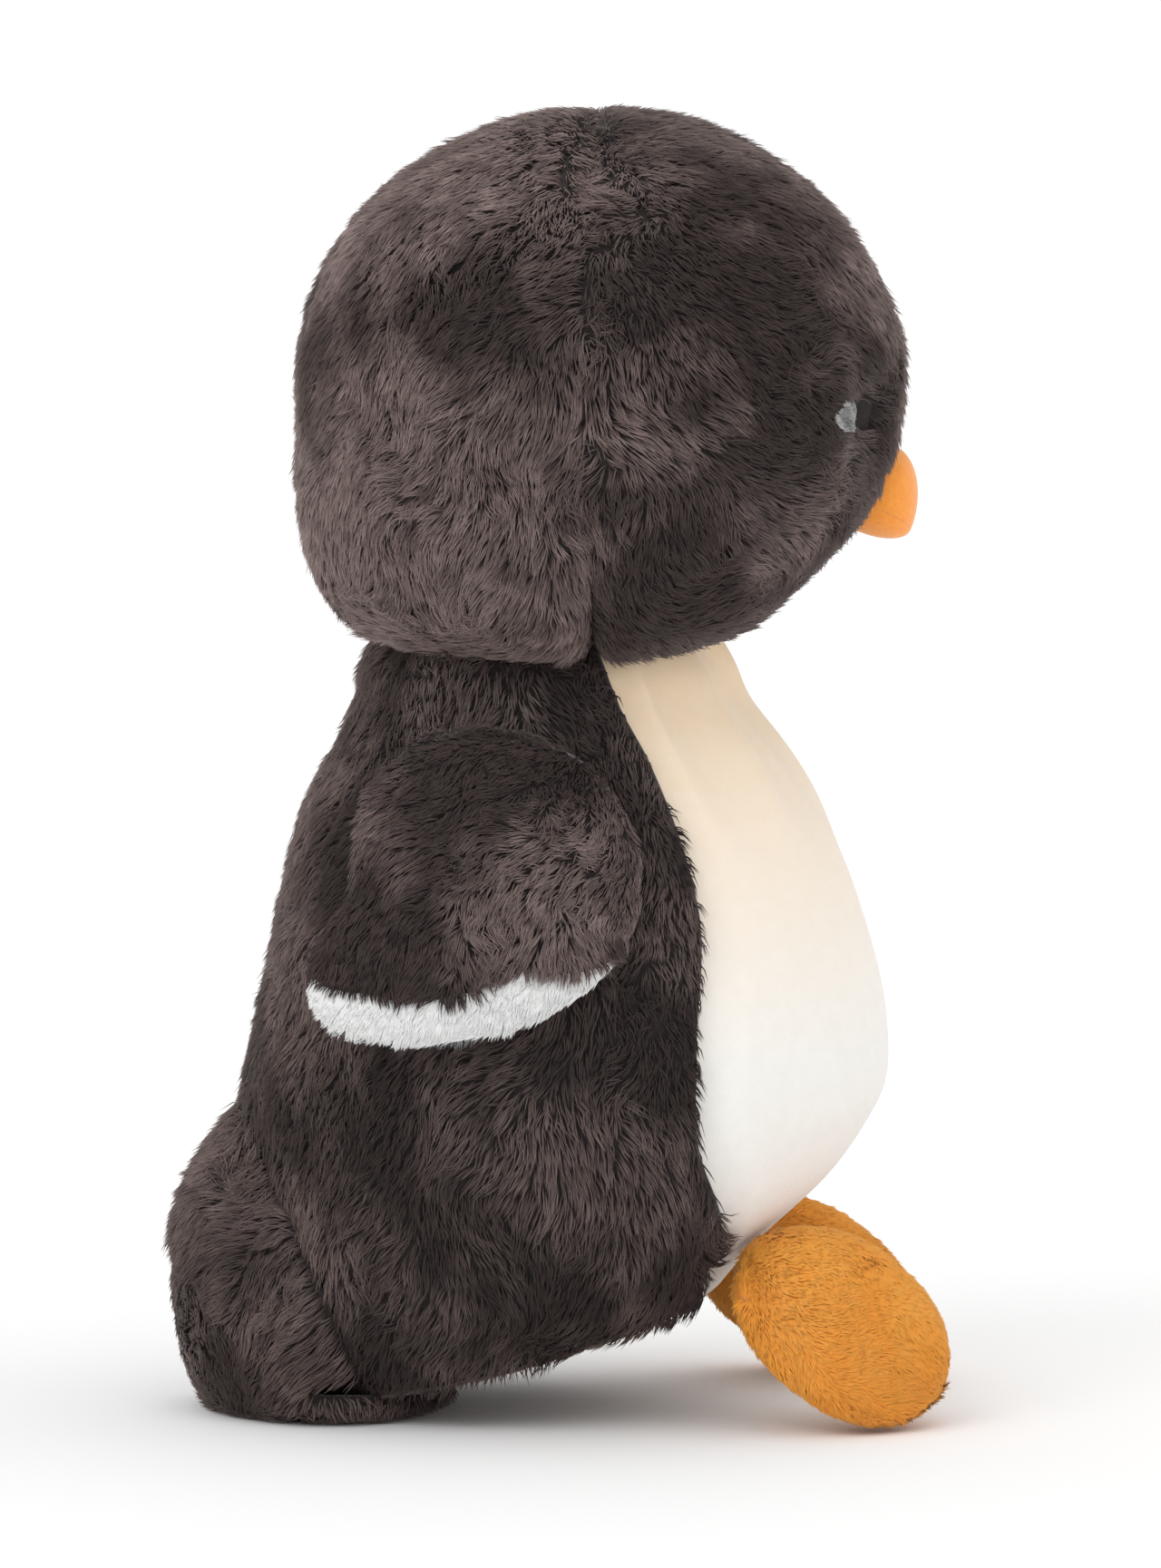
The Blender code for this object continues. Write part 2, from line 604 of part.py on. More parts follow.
def build_tail(parts, materials):
    centre = Vector((0.0, TAIL_MIDDLE_Y, 0.030))
    shape = dome_surface(6, 22, tail_dish_point, centre)
    make_solid(add_object("tail_under_panel", shape, materials["dark_plush"], None, parts), TAIL_CLOTH)

    def upper(across, up):
        angle = TAIL_END_ANGLE * (2 * across - 1)
        low = tail_rim(angle) + Vector((0.0, 0.0, 3 * SEAM_GAP))
        turn = math.pi - TAIL_SPREAD * math.pi / 2 * math.sin(angle)
        target = low.z + TAIL_TOP_RISE * math.cos(angle)
        height = HEM_HEIGHT
        for _ in range(12):
            height += target - body_point(turn, height).z
            height = min(max(height, HEM_HEIGHT), NECK_HEIGHT)
        high = body_point(turn, height, -TAIL_STANDOFF)
        point = low.lerp(high, up)
        outward = Vector((math.sin(angle), math.cos(angle), 0.0))
        return point + outward * TAIL_BULGE * math.sin(math.pi * up) * math.cos(angle)

    shape = grid_surface(12, 5, upper, Vector((0.0, 0.030, 0.020)))
    make_solid(add_object("tail_upper_panel", shape, materials["dark_plush"], None, parts), TAIL_CLOTH)

    def fill(turn, rise):
        return TAIL_FILL_MIDDLE + Vector((
            TAIL_FILL_HALF.x * math.cos(rise) * math.sin(turn),
            -TAIL_FILL_HALF.y * math.cos(rise) * math.cos(turn),
            TAIL_FILL_HALF.z * math.sin(rise)))

    add_object("tail_stuffing", ball_solid(14, 8, fill), materials["fibre"], None, parts)


def build_wing(side, side_name, parts, materials, pivot):
    seam = Vector((side * RIM_GAP, 0.0, 0.0))
    rest = wing_point(side, 0.0, 0.0, 0.0)

    def outer(reach, angle):
        return wing_point(side, reach, angle, WING_OUTER_DOME) + seam

    def inner(reach, angle):
        return wing_point(side, reach, angle, -WING_INNER_DOME) - seam

    shape = dome_surface(4, 22, outer, rest)
    name = f"wing_outer_{side_name}"
    make_solid(add_object(name, shape, materials["dark_plush"], pivot, parts), WING_OUTER_CLOTH)
    shape = dome_surface(4, 22, inner, rest)
    name = f"wing_inner_{side_name}"
    make_solid(add_object(name, shape, materials["white_plush"], pivot, parts), WING_INNER_CLOTH)

    def fill(reach, angle, face):
        lift = WING_OUTER_DOME - WING_FILL_GAP if face > 0 else WING_FILL_GAP - WING_INNER_DOME
        point = wing_point(side, reach * RIM_FILL_REACH, angle, 0.0)
        return point + Vector((side * lift * dome_height(reach), 0.0, 0.0))

    shape = pillow_solid(3, 16, fill)
    add_object(f"wing_stuffing_{side_name}", shape, materials["fibre"], pivot, parts)


def build_foot(side, side_name, parts, materials, pivot):
    frame = foot_frame(side)
    up = (frame.to_3x3() @ Vector((0.0, 0.0, 1.0))) * RIM_GAP
    rest = frame.translation

    def top(reach, angle):
        return foot_point(side, reach, angle, FOOT_TOP_DOME) + up

    def sole(reach, angle):
        point = foot_point(side, reach, angle, -FOOT_SOLE_DOME) - up
        return Vector((point.x, point.y, max(point.z, 0.0)))

    shape = dome_surface(4, 20, top, rest)
    make_solid(add_object(f"foot_top_{side_name}", shape, materials["orange_plush"], pivot, parts), FOOT_CLOTH)
    shape = dome_surface(4, 20, sole, rest)
    make_solid(add_object(f"foot_sole_{side_name}", shape, materials["orange_plush"], pivot, parts), FOOT_CLOTH)

    def fill(reach, angle, face):
        lift = FOOT_TOP_DOME - PILE if face > 0 else PILE - FOOT_SOLE_DOME
        radius = RIM_FILL_REACH * reach * smooth_outline(FOOT_OUTLINE, angle)
        local = Vector((radius * math.sin(angle), -radius * math.cos(angle), lift * dome_height(reach)))
        point = frame @ local
        return Vector((point.x, point.y, max(point.z, PILE)))

    add_object(f"foot_stuffing_{side_name}", pillow_solid(3, 16, fill), materials["fibre"], pivot, parts)


def make_materials():
    return {
        "dark_plush": make_material("dark_plush", (0.075, 0.055, 0.052), 0.9),
        "cream_velour": make_material("cream_velour", (0.90, 0.84, 0.74), 0.85),
        "white_plush": make_material("white_plush", (0.93, 0.93, 0.92), 0.9),
        "white_felt": make_material("white_felt", (0.92, 0.92, 0.90), 0.9),
        "orange_plush": make_material("orange_plush", (0.92, 0.34, 0.05), 0.9),
        "orange_felt": make_material("orange_felt", (0.88, 0.29, 0.04), 0.85),
        "black_gloss": make_material("black_gloss", (0.010, 0.010, 0.011), 0.12),
        "clear_plastic": make_material("clear_plastic", (0.75, 0.76, 0.76), 0.35),
        "fibre": make_material("fibre", (0.88, 0.88, 0.87), 0.95),
        "calico": make_material("calico", (0.80, 0.74, 0.62), 0.9),
        "pellets": make_material("pellets", (0.70, 0.72, 0.74), 0.5),
        "thread": make_material("thread", (0.04, 0.03, 0.03), 0.8),
    }


def build():
    clear_scene()
    parts = bpy.data.collections.new("plush_penguin")
    cutters = bpy.data.collections.new("cutters")
    for collection in (parts, cutters):
        bpy.context.scene.collection.children.link(collection)
    materials = make_materials()

    turn_pivot = add_pivot("head_turn_axis", NECK_PIVOT, None, parts)
    nod_pivot = add_pivot("head_nod_axis", NECK_PIVOT, None, parts)
    build_neck(parts, materials, turn_pivot)
    faces, stuffing = build_head(parts, cutters, materials, nod_pivot)
    build_beak(parts, materials, nod_pivot)
    build_body(parts, cutters, materials)
    build_pellets(parts, materials)
    build_tail(parts, materials)
    for side, side_name in SIDES:
        build_eye(side, side_name, parts, cutters, materials, nod_pivot, faces[side], stuffing)
        mirror = Vector((side, 1.0, 1.0))
        wing_pivot = add_pivot(f"wing_axis_{side_name}", WING_AXIS_POINT * mirror, None, parts)
        build_wing(side, side_name, parts, materials, wing_pivot)
        foot_pivot = add_pivot(f"foot_axis_{side_name}", FOOT_PIVOT * mirror, None, parts)
        build_foot(side, side_name, parts, materials, foot_pivot)

    for cutter in cutters.objects:
        cutter.hide_render = True
        cutter.display_type = "WIRE"


build()
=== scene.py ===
"""Plush penguin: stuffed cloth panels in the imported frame's places, with each lock of the pile a solid.

Metres, +Z up. The penguin faces -Y and its right side is at -X. The frame's panels give the outer
reach of the pile, so the cloth lies below them and the fur grows back up to them.
"""

import json
import math

import bpy
import numpy as np
from mathutils import Matrix, Vector


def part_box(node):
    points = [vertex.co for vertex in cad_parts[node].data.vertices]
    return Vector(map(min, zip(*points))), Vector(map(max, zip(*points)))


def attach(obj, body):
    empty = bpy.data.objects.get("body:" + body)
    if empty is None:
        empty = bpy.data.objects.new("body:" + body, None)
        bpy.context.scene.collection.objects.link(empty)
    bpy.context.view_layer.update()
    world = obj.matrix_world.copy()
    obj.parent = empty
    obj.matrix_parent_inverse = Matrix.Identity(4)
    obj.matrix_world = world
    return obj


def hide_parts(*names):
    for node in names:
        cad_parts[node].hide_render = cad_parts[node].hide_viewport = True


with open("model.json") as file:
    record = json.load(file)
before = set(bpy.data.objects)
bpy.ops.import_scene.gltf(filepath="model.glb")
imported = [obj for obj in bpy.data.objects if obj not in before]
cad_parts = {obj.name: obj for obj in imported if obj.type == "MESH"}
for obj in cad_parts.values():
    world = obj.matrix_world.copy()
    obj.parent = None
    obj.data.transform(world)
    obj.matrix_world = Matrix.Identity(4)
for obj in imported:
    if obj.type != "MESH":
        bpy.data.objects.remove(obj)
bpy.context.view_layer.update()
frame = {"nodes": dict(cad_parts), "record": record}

RIGHT, LEFT = -1, 1
SIDES = ((RIGHT, "right"), (LEFT, "left"))

# Cloth
CLOTH_INSET = 0.0032      # dark cloth below the pile's outer reach
VELOUR_INSET = 0.0006     # belly cloth, whose short nap is only a fine bump
CLOTH_THICKNESS = 0.0008
SEAM_TUCK = 0.0004        # how far the belly cloth's edge goes below the dark cloth

# Head
HEAD_NODES = ("head_face_right", "head_face_left", "head_back_right", "head_back_left")
HEAD_HALF_HEIGHT = 0.0645
CHIN_POWER = 2.05
NAPE_POWER = 4.2
CHIN_TAPER = 0.0022
CHIN_TAPER_TURN_WIDTH = math.radians(48)
CHIN_TAPER_RISE = math.radians(-42)
CHIN_TAPER_RISE_WIDTH = math.radians(16)
HEAD_TOP_RISE = math.radians(89.5)
HEAD_OPENING_RISE = math.radians(-62)
EAR_SEAM_TURN = math.radians(98)
EAR_SEAM_WIDTH = 0.085
EAR_SEAM_DEPTH = 0.0005   # halfway up, with these added at the crown and under the cheek
CROWN_DEPTH = 0.0030
CROWN_RISES = math.radians(36), math.radians(64)
FURROW_DEPTH = 0.0036
FURROW_RISES = math.radians(-4), math.radians(-34)
FACE_SEAM_DEPTH = 0.0006
FACE_SEAM_WIDTH = 0.04
BROW = math.radians(20), math.radians(8)    # turn and rise
BROW_HEIGHT = 0.0016
BROW_WIDTH = math.radians(12)
BROW_STRETCH = 1.3        # how much wider than tall
CHEEK = math.radians(46), math.radians(-17)
CHEEK_HEIGHT = 0.0012
CHEEK_WIDTH = math.radians(15)

# Body rows: height, back, front, half width, belly seam angle in degrees from the front
BODY_ROWS = (
    (0.020, 0.0560, -0.0405, 0.0505, 32),
    (0.026, 0.0610, -0.0465, 0.0555, 38),
    (0.042, 0.0700, -0.0655, 0.0655, 55),
    (0.060, 0.0735, -0.0760, 0.0700, 67),
    (0.088, 0.0690, -0.0788, 0.0700, 71),
    (0.120, 0.0620, -0.0707, 0.0630, 67),
    (0.140, 0.0560, -0.0605, 0.0560, 67),
    (0.153, 0.0490, -0.0520, 0.0492, 69),
    (0.164, 0.0455, -0.0440, 0.0435, 71),
    (0.172, 0.0440, -0.0400, 0.0405, 72),
    (0.182, 0.0370, -0.0330, 0.0340, 73),
)
HEM_HEIGHT = 0.0205
HEM_SLOPE = 0.27
HEM_PIVOT = -0.0072
LEVEL_HEIGHT = 0.095
NECK_TOP = 0.1815
GATHER_HEIGHTS = 0.118, 0.160               # where the belly's folds under the chin begin and are full
GATHER_DEPTH = 0.0020
BELLY_SOFTNESS = 0.0007
BACK_SOFTNESS = 0.0008
SEAT_SAG = 0.0045
SEAT_FLOOR = 0.0022

# Wings: polar outline about a middle, angle 0 backwards and 90 upwards
WING_MIDDLE = (0.0198, 0.1235)
WING_OUTLINE = (
    (0, 0.0327), (20, 0.0330), (45, 0.0375), (90, 0.0372), (125, 0.0405), (160, 0.0385),
    (200, 0.0350), (240, 0.0310), (280, 0.0340), (305, 0.0410), (325, 0.0482), (340, 0.0440),
)
WING_STANDOFF = 0.0066
WING_WRAP = 4.0
WING_WRAP_START = 0.0030
WING_INNER_DOME = 0.0040
WING_OUTER_DOME = 0.0072
WING_BAND = 0.0122        # white cloth turned round the wing's lower edge
WING_BAND_FROM = math.radians(198)          # round the outline, from the front to the tip
WING_BAND_TO = math.radians(337)
WING_BAND_GROWS = 0.34    # share of the band over which it widens from the front
WING_BAND_ENDS = 0.88     # share from which it narrows to the tip
WING_INNER_SHORT = 0.06   # where the edge is dark, the white panel ends this share of the way in
WING_ROOT = (0.0450, 0.0195, 0.1540)        # tuck of body cloth that the wing hangs from
WING_ROOT_HALF = (0.0085, 0.0170, 0.0060)
WING_FUR = 0.0030         # the outline is the fur's, so the cloth's edge lies this far in
WING_TOP = 0.164          # height above which the wing follows the body no more

RIM_GAP = 0.0017          # how far a wing's or foot's panel stands off its middle plane
FLOOR_CLEARANCE = 0.0012  # lowest point of a foot's cloth

# Feet: polar outline about a middle, angle 0 towards the toes
FOOT_MIDDLE = (0.0420, -0.0595, 0.0256)
FOOT_OUTLINE = (
    (0, 0.0335), (40, 0.0325), (80, 0.0280), (130, 0.0248), (180, 0.0250),
    (230, 0.0248), (280, 0.0275), (320, 0.0325),
)
FOOT_SPLAY = math.radians(12)
FOOT_PITCH = math.radians(38)
FOOT_ROLL = math.radians(28)
FOOT_TOP_DOME = 0.0125
FOOT_SOLE_DOME = 0.0105
FOOT_FUR = 0.0022

# Tail
TAIL_MIDDLE_Y = 0.0548
TAIL_HALF_WIDTH = 0.0390
TAIL_HALF_DEPTH = 0.0329
TAIL_RIM_FRONT = 0.0055
TAIL_RIM_RISE = 0.0350
TAIL_SIDE_RISE = 0.0018
TAIL_FLAT = 0.62
TAIL_ROUND = math.radians(110)
TAIL_TOP_RISE = 0.0300
TAIL_OVERHANG = 1.02      # widest reach of the under panel, in rims
TAIL_FLOOR = 0.0014
TAIL_TOP_BULGE = 0.0030
TAIL_TOP_TUCK = 0.0004    # how far the upper panel's edge stands off the back panels
TAIL_SPREAD = 0.46
TAIL_END_ANGLE = math.radians(84)

# Beak and eyes
BEAK_BASE = Vector((0.0, -0.0752, 0.2114))
BEAK_UP = Vector((0.0, -0.385, 0.923)).normalized()
BEAK_OUT = Vector((0.0, -0.923, -0.385)).normalized()
BEAK_HALF_WIDTH = 0.0130
BEAK_HALF_HEIGHT = 0.0108
BEAK_LENGTH = 0.0113
BEAK_FACE_CURVE = 7.0
BEAK_TIP_DROP = 0.56      # how far below the beak's middle the tip lies, in half heights
BEAK_ROUNDNESS = 1.9      # 2 is an ellipse
BEAK_SEAM = math.radians(200), math.radians(340)
BEAK_ROOT = 0.0200        # depth of its root in the face, for each unit of reach past the rim
EYE_TURN = math.radians(31.5)                 # bead, at the bottom of the recess
EYE_RISE = math.radians(-4.5)
EYE_PATCH_TURN = math.radians(37.0)         # patch, whose outer corner lies on the recess's edge
EYE_PATCH_HALF_TURN = 0.135
EYE_PATCH_HALF_RISE = 0.062
EYE_RECESS_TURN = math.radians(31)
EYE_DIMPLE = 0.0072
EYE_DIMPLE_WIDTH = math.radians(8.5)
EYE_PATCH_RAISED = 0.0022 # above the dark cloth's level
EYE_BEAD_RADIUS = 0.0048
EYE_BEAD_RAISED = 0.0012  # above the bottom of the dimple
WASHER_DEPTH = 0.0040     # behind the bead's middle
WASHER_RADIUS = 0.0046

# Ovals without fur: turn, rise, half turn, half rise, and the beak's half width and half height
BARE_PATCH = math.radians(39.5), math.radians(-4.0), 0.126, 0.052
BARE_BEAD = math.radians(29), EYE_RISE, 0.082, 0.070
BARE_BEAK = 0.0118, 0.0095

# Fur pieces
MOST_LOCKS = 12000        # in one piece
HEAD_LOCKS = 30000        # on each of the four panels
NAPE_TURNS = math.radians(62), math.radians(128)    # where the combing turns from face to nape, and the face's painted shade to the nape's painted light
BACK_LOCKS = 32000        # on each of the two panels

# Heights between which the belly turns from nearly white to a painted peach shade under the chin
BELLY_PALE = 0.085
BELLY_FULL_SHADE = 0.172

# Light and camera
FLOOR_HALF = 25.0
SKY_STRENGTH = 1.0
WINDOW_STRENGTH = 0.50
WINDOW_ANGLE = math.radians(40)
WINDOW_WAY = (-0.55, 0.55, 0.63)
CAMERA_AZIMUTH = math.radians(265)
CAMERA_ELEVATION = math.radians(5)
CAMERA_DISTANCE = 3.0
CAMERA_TARGET = (0.0, -0.0072, 0.1435)
VIEW_HEIGHT = 0.3607      # at the target
SENSOR_WIDTH = 36.0


# Numbers

def unit(vectors):
    return vectors / np.maximum(np.linalg.norm(vectors, axis=-1, keepdims=True), 1e-12)


def smoothstep(start, end, value):
    part = np.clip((value - start) / (end - start), 0.0, 1.0)
    return part * part * (3.0 - 2.0 * part)


def bump(middle, width, value):
    return np.exp(-((value - middle) / width) ** 2)


def smooth_rows(rows, at):
    """The rows' values at an array of keys, on smooth curves through them."""
    at = np.asarray(at, dtype=float)
    keys = np.array([row[0] for row in rows], dtype=float)
    values = np.array([row[1:] for row in rows], dtype=float)
    slopes = np.gradient(values, keys, axis=0)
    low = np.clip(np.searchsorted(keys, at) - 1, 0, len(keys) - 2)
    step = (keys[low + 1] - keys[low])[..., None]
    part = np.clip((at - keys[low])[..., None] / step, 0.0, 1.0)
    start = values[low] * (1 + 2 * part) * (1 - part) ** 2
    end = values[low + 1] * part ** 2 * (3 - 2 * part)
    leave = slopes[low] * step * part * (1 - part) ** 2
    arrive = slopes[low + 1] * step * part ** 2 * (part - 1)
    return start + end + leave + arrive


def smooth_outline(points, angle):
    """Radius of a closed polar outline at an array of angles."""
    degrees = np.degrees(angle) % 360
    before = tuple((at - 360, radius) for at, radius in points[-2:])
    after = tuple((at + 360, radius) for at, radius in points[:3])
    return smooth_rows(before + points + after, degrees)[..., 0]


def waves(points, scale, seed, count=14):
    """A smooth random field over space, from about -1 to 1, with blobs about a scale across."""
    rng = np.random.default_rng(seed)
    directions = unit(rng.normal(size=(count, 3)))
    pitch = 2 * math.pi / (2 * scale) * rng.uniform(0.6, 1.4, count)
    phase = rng.uniform(0, 2 * math.pi, count)
    total = np.cos(points @ (directions * pitch[:, None]).T + phase).sum(axis=-1)
    return total / math.sqrt(count / 2) / 1.6


def wave_vectors(points, scale, seed):
    return np.stack([waves(points, scale, seed + axis) for axis in range(3)], axis=-1)


def stacked(x, y, z):
    return np.stack(np.broadcast_arrays(x, y, z), axis=-1).astype(float)


# Surfaces, as functions of arrays

def node_range(nodes):
    """Lowest and highest corner of several nodes of the frame."""
    boxes = [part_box(node) for node in nodes]
    low = np.array([box[0] for box in boxes]).min(axis=0)
    high = np.array([box[1] for box in boxes]).max(axis=0)
    return low, high


head_low, head_high = node_range(HEAD_NODES)
HEAD_CENTRE = np.array((0.0, (head_low[1] + head_high[1]) / 2, head_high[2] - HEAD_HALF_HEIGHT))
HEAD_HALF = np.array((head_high[0], (head_high[1] - head_low[1]) / 2, HEAD_HALF_HEIGHT))


def head_form(turn, rise, inset):
    """An ellipsoid whose underside is fuller, most of all at the nape."""
    nape = (1 - np.cos(turn)) / 2
    power = np.where(rise < 0, CHIN_POWER + (NAPE_POWER - CHIN_POWER) * nape, 2.0)
    level, around = np.abs(np.sin(rise)), np.abs(np.cos(rise))
    fullness = (level ** power + around ** power) ** (-1 / power)
    return HEAD_CENTRE + stacked(
        (HEAD_HALF[0] - inset) * np.cos(rise) * fullness * np.sin(turn),
        -(HEAD_HALF[1] - inset) * np.cos(rise) * fullness * np.cos(turn),
        (HEAD_HALF[2] - inset) * np.sin(rise) * fullness)


def head_surface(turn, rise, inset=CLOTH_INSET):
    """The head with its seams drawn in, its eye dimples, and the brows and cheeks round them."""
    side = np.abs(turn)
    crown = CROWN_DEPTH * smoothstep(*CROWN_RISES, rise)
    furrow = FURROW_DEPTH * smoothstep(*FURROW_RISES, rise)
    depth = (EAR_SEAM_DEPTH + crown + furrow) * bump(EAR_SEAM_TURN, EAR_SEAM_WIDTH, side)
    depth += FACE_SEAM_DEPTH * bump(0, FACE_SEAM_WIDTH, turn)
    chin = bump(0, CHIN_TAPER_TURN_WIDTH, turn) * bump(CHIN_TAPER_RISE, CHIN_TAPER_RISE_WIDTH, rise)
    depth += CHIN_TAPER * chin
    away = np.hypot((side - EYE_RECESS_TURN) * np.cos(rise), rise - EYE_RISE)
    depth += EYE_DIMPLE * bump(0, EYE_DIMPLE_WIDTH, away)
    from_brow = np.hypot((side - BROW[0]) / BROW_STRETCH, rise - BROW[1])
    from_cheek = np.hypot(side - CHEEK[0], rise - CHEEK[1])
    depth -= BROW_HEIGHT * bump(0, BROW_WIDTH, from_brow)
    depth -= CHEEK_HEIGHT * bump(0, CHEEK_WIDTH, from_cheek)
    return head_form(turn, rise, inset + depth)


def body_surface(turn, height, inset):
    back, front, half_width, _ = np.moveaxis(smooth_rows(BODY_ROWS, height), -1, 0)
    y = (back + front) / 2 - ((back - front) / 2 - inset) * np.cos(turn)
    slope = HEM_SLOPE * (1 - smoothstep(0.026, LEVEL_HEIGHT, height))
    return stacked((half_width - inset) * np.sin(turn), y, height - slope * (y - HEM_PIVOT))


def belly_seam(height):
    return np.radians(smooth_rows(BODY_ROWS, height)[..., 3])


def dome_height(reach):
    return np.sqrt(np.maximum(1.0 - reach ** 2, 0.0))


def off_rim(reach, lift):
    """The panels of a wing or foot stand apart, but meet at their rim."""
    return math.copysign(RIM_GAP, lift) * (1 - reach ** 8)


def wing_surface(side, reach, angle, lift, edge=WING_FUR):
    radius = reach * (smooth_outline(WING_OUTLINE, angle) - edge)
    y = WING_MIDDLE[0] + radius * np.cos(angle)
    z = WING_MIDDLE[1] + radius * np.sin(angle)
    half_width = smooth_rows(BODY_ROWS, np.minimum(z, WING_TOP))[..., 2]
    wrap = WING_WRAP * np.maximum(y - WING_WRAP_START, 0.0) ** 2
    x = half_width + WING_STANDOFF - wrap + lift * dome_height(reach) + off_rim(reach, lift)
    return stacked(side * x, y, z)


def wing_band(angle):
    """How much of the wing's edge is white: a band along its lower edge that runs out at both ends."""
    part = (angle % (2 * math.pi) - WING_BAND_FROM) / (WING_BAND_TO - WING_BAND_FROM)
    return WING_BAND * smoothstep(0.0, WING_BAND_GROWS, part) * (1 - smoothstep(WING_BAND_ENDS, 1.0, part))


def foot_matrix(side):
    turn = Matrix.Rotation(side * FOOT_SPLAY, 3, "Z")
    pitch = Matrix.Rotation(FOOT_PITCH, 3, "X")
    roll = Matrix.Rotation(side * FOOT_ROLL, 3, "Y")
    return np.array(turn @ pitch @ roll)


def foot_surface(side, reach, angle, lift, edge=FOOT_FUR):
    radius = reach * (smooth_outline(FOOT_OUTLINE, angle) - edge)
    height = lift * dome_height(reach) + off_rim(reach, lift)
    local = stacked(radius * np.sin(angle), -radius * np.cos(angle), height)
    middle = np.array((side * FOOT_MIDDLE[0], FOOT_MIDDLE[1], FOOT_MIDDLE[2]))
    point = local @ foot_matrix(side).T + middle
    point[..., 2] = np.maximum(point[..., 2], FLOOR_CLEARANCE)
    return point


def tail_rim(angle):
    """The seam round the tail, which rises towards its tip."""
    height = TAIL_RIM_FRONT + TAIL_RIM_RISE * np.maximum(np.cos(angle), 0.0) ** 1.5
    height = height + TAIL_SIDE_RISE * np.sin(angle) ** 4
    return stacked(
        TAIL_HALF_WIDTH * np.sin(angle), TAIL_MIDDLE_Y + TAIL_HALF_DEPTH * np.cos(angle), height)


def tail_dish(reach, angle, inset):
    """The under panel: flat where it stands, then rounded up to the rim."""
    rim = tail_rim(angle)
    bend = TAIL_ROUND * np.clip((reach - 0.5) / 0.5, 0.0, 1.0)
    spread = TAIL_FLAT * np.minimum(reach / 0.5, 1.0) + (TAIL_OVERHANG - TAIL_FLAT) * np.sin(bend)
    spread = spread * (1 - inset / TAIL_HALF_DEPTH)
    lift = (1 - np.cos(bend)) / (1 - math.cos(TAIL_ROUND))
    y = TAIL_MIDDLE_Y + (rim[..., 1] - TAIL_MIDDLE_Y) * spread
    return stacked(rim[..., 0] * spread, y, np.maximum(rim[..., 2] * lift, TAIL_FLOOR))


def tail_top(across, up, inset):
    """The upper panel, from the rim to the back panels."""
    angle = TAIL_END_ANGLE * (2 * across - 1)
    low = tail_rim(angle)
    low[..., :2] -= inset * np.stack([np.sin(angle), np.cos(angle)], axis=-1)
    turn = math.pi - TAIL_SPREAD * math.pi / 2 * np.sin(angle)
    target = low[..., 2] + TAIL_TOP_RISE * np.cos(angle)
    height = np.full(np.shape(angle), 0.03)
    for _ in range(14):       # until the sloping body's own height reaches the target
        height = np.clip(height + target - body_surface(turn, height, 0.0)[..., 2], 0.021, 0.16)
    high = body_surface(turn, height, CLOTH_INSET - TAIL_TOP_TUCK)
    bulge = TAIL_TOP_BULGE * np.sin(math.pi * up) * np.cos(angle)
    outward = stacked(np.sin(angle), np.cos(angle), 0.0)
    return low + (high - low) * up[..., None] + outward * bulge[..., None]


def beak_surface(reach, angle):
    """A wedge whose top slopes down to a rounded tip, near the level of its underside.

    Past a reach of 1 it runs back into the face.
    """
    back = np.maximum(reach - 1.0, 0.0)
    reach = np.minimum(reach, 1.0)
    out = BEAK_LENGTH * np.sqrt(np.maximum(1.0 - reach ** BEAK_ROUNDNESS, 0.0)) - BEAK_ROOT * back
    up = BEAK_HALF_HEIGHT * (reach * np.sin(angle) - BEAK_TIP_DROP * (1 - reach))
    wide = BEAK_HALF_WIDTH * reach * np.cos(angle)
    point = np.array(BEAK_BASE) + stacked(wide, BEAK_FACE_CURVE * wide ** 2, 0.0)
    return point + up[..., None] * np.array(BEAK_UP) + out[..., None] * np.array(BEAK_OUT)


# Patches of cloth

class Patch:
    """A grid of points on a surface, with normals that point away from a centre."""

    def __init__(self, place, rows, columns, centre):
        up, across = np.meshgrid(np.linspace(0, 1, rows), np.linspace(0, 1, columns), indexing="ij")
        self.points = place(across, up)
        self.centre = np.array(centre, dtype=float)
        self.refresh()

    def refresh(self):
        along = np.gradient(self.points, axis=1)
        rise = np.gradient(self.points, axis=0)
        for row, beside in ((0, 1), (-1, -2)):
            if np.linalg.norm(along[row], axis=-1).max() < 1e-7:
                along[row] = along[beside]
                rise[row] = rise[beside]
        normals = unit(np.cross(along, rise))
        self.outward = np.sum(normals * (self.points - self.centre)) > 0
        self.normals = normals if self.outward else -normals

    def push(self, distance):
        """Move every point along its normal."""
        self.points = self.points + self.normals * distance[..., None]
        self.refresh()

    def sample(self, count, rng):
        """Points and their normals spread evenly over the patch."""
        corner = self.points[:-1, :-1]
        across, up = self.points[:-1, 1:] - corner, self.points[1:, :-1] - corner
        area = np.linalg.norm(np.cross(across, up), axis=-1)
        cells = rng.choice(area.size, size=count, p=area.ravel() / area.sum())
        row, column = np.unravel_index(cells, area.shape)
        s, t = rng.random((2, count))[..., None]

        def blend(grid):
            low = grid[row, column] * (1 - s) + grid[row, column + 1] * s
            high = grid[row + 1, column] * (1 - s) + grid[row + 1, column + 1] * s
            return low * (1 - t) + high * t

        return blend(self.points), unit(blend(self.normals))


def link(name, mesh, material, body):
    piece = bpy.data.objects.new(name, mesh)
    bpy.context.scene.collection.objects.link(piece)
    mesh.materials.append(material)
    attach(piece, body)
    return piece


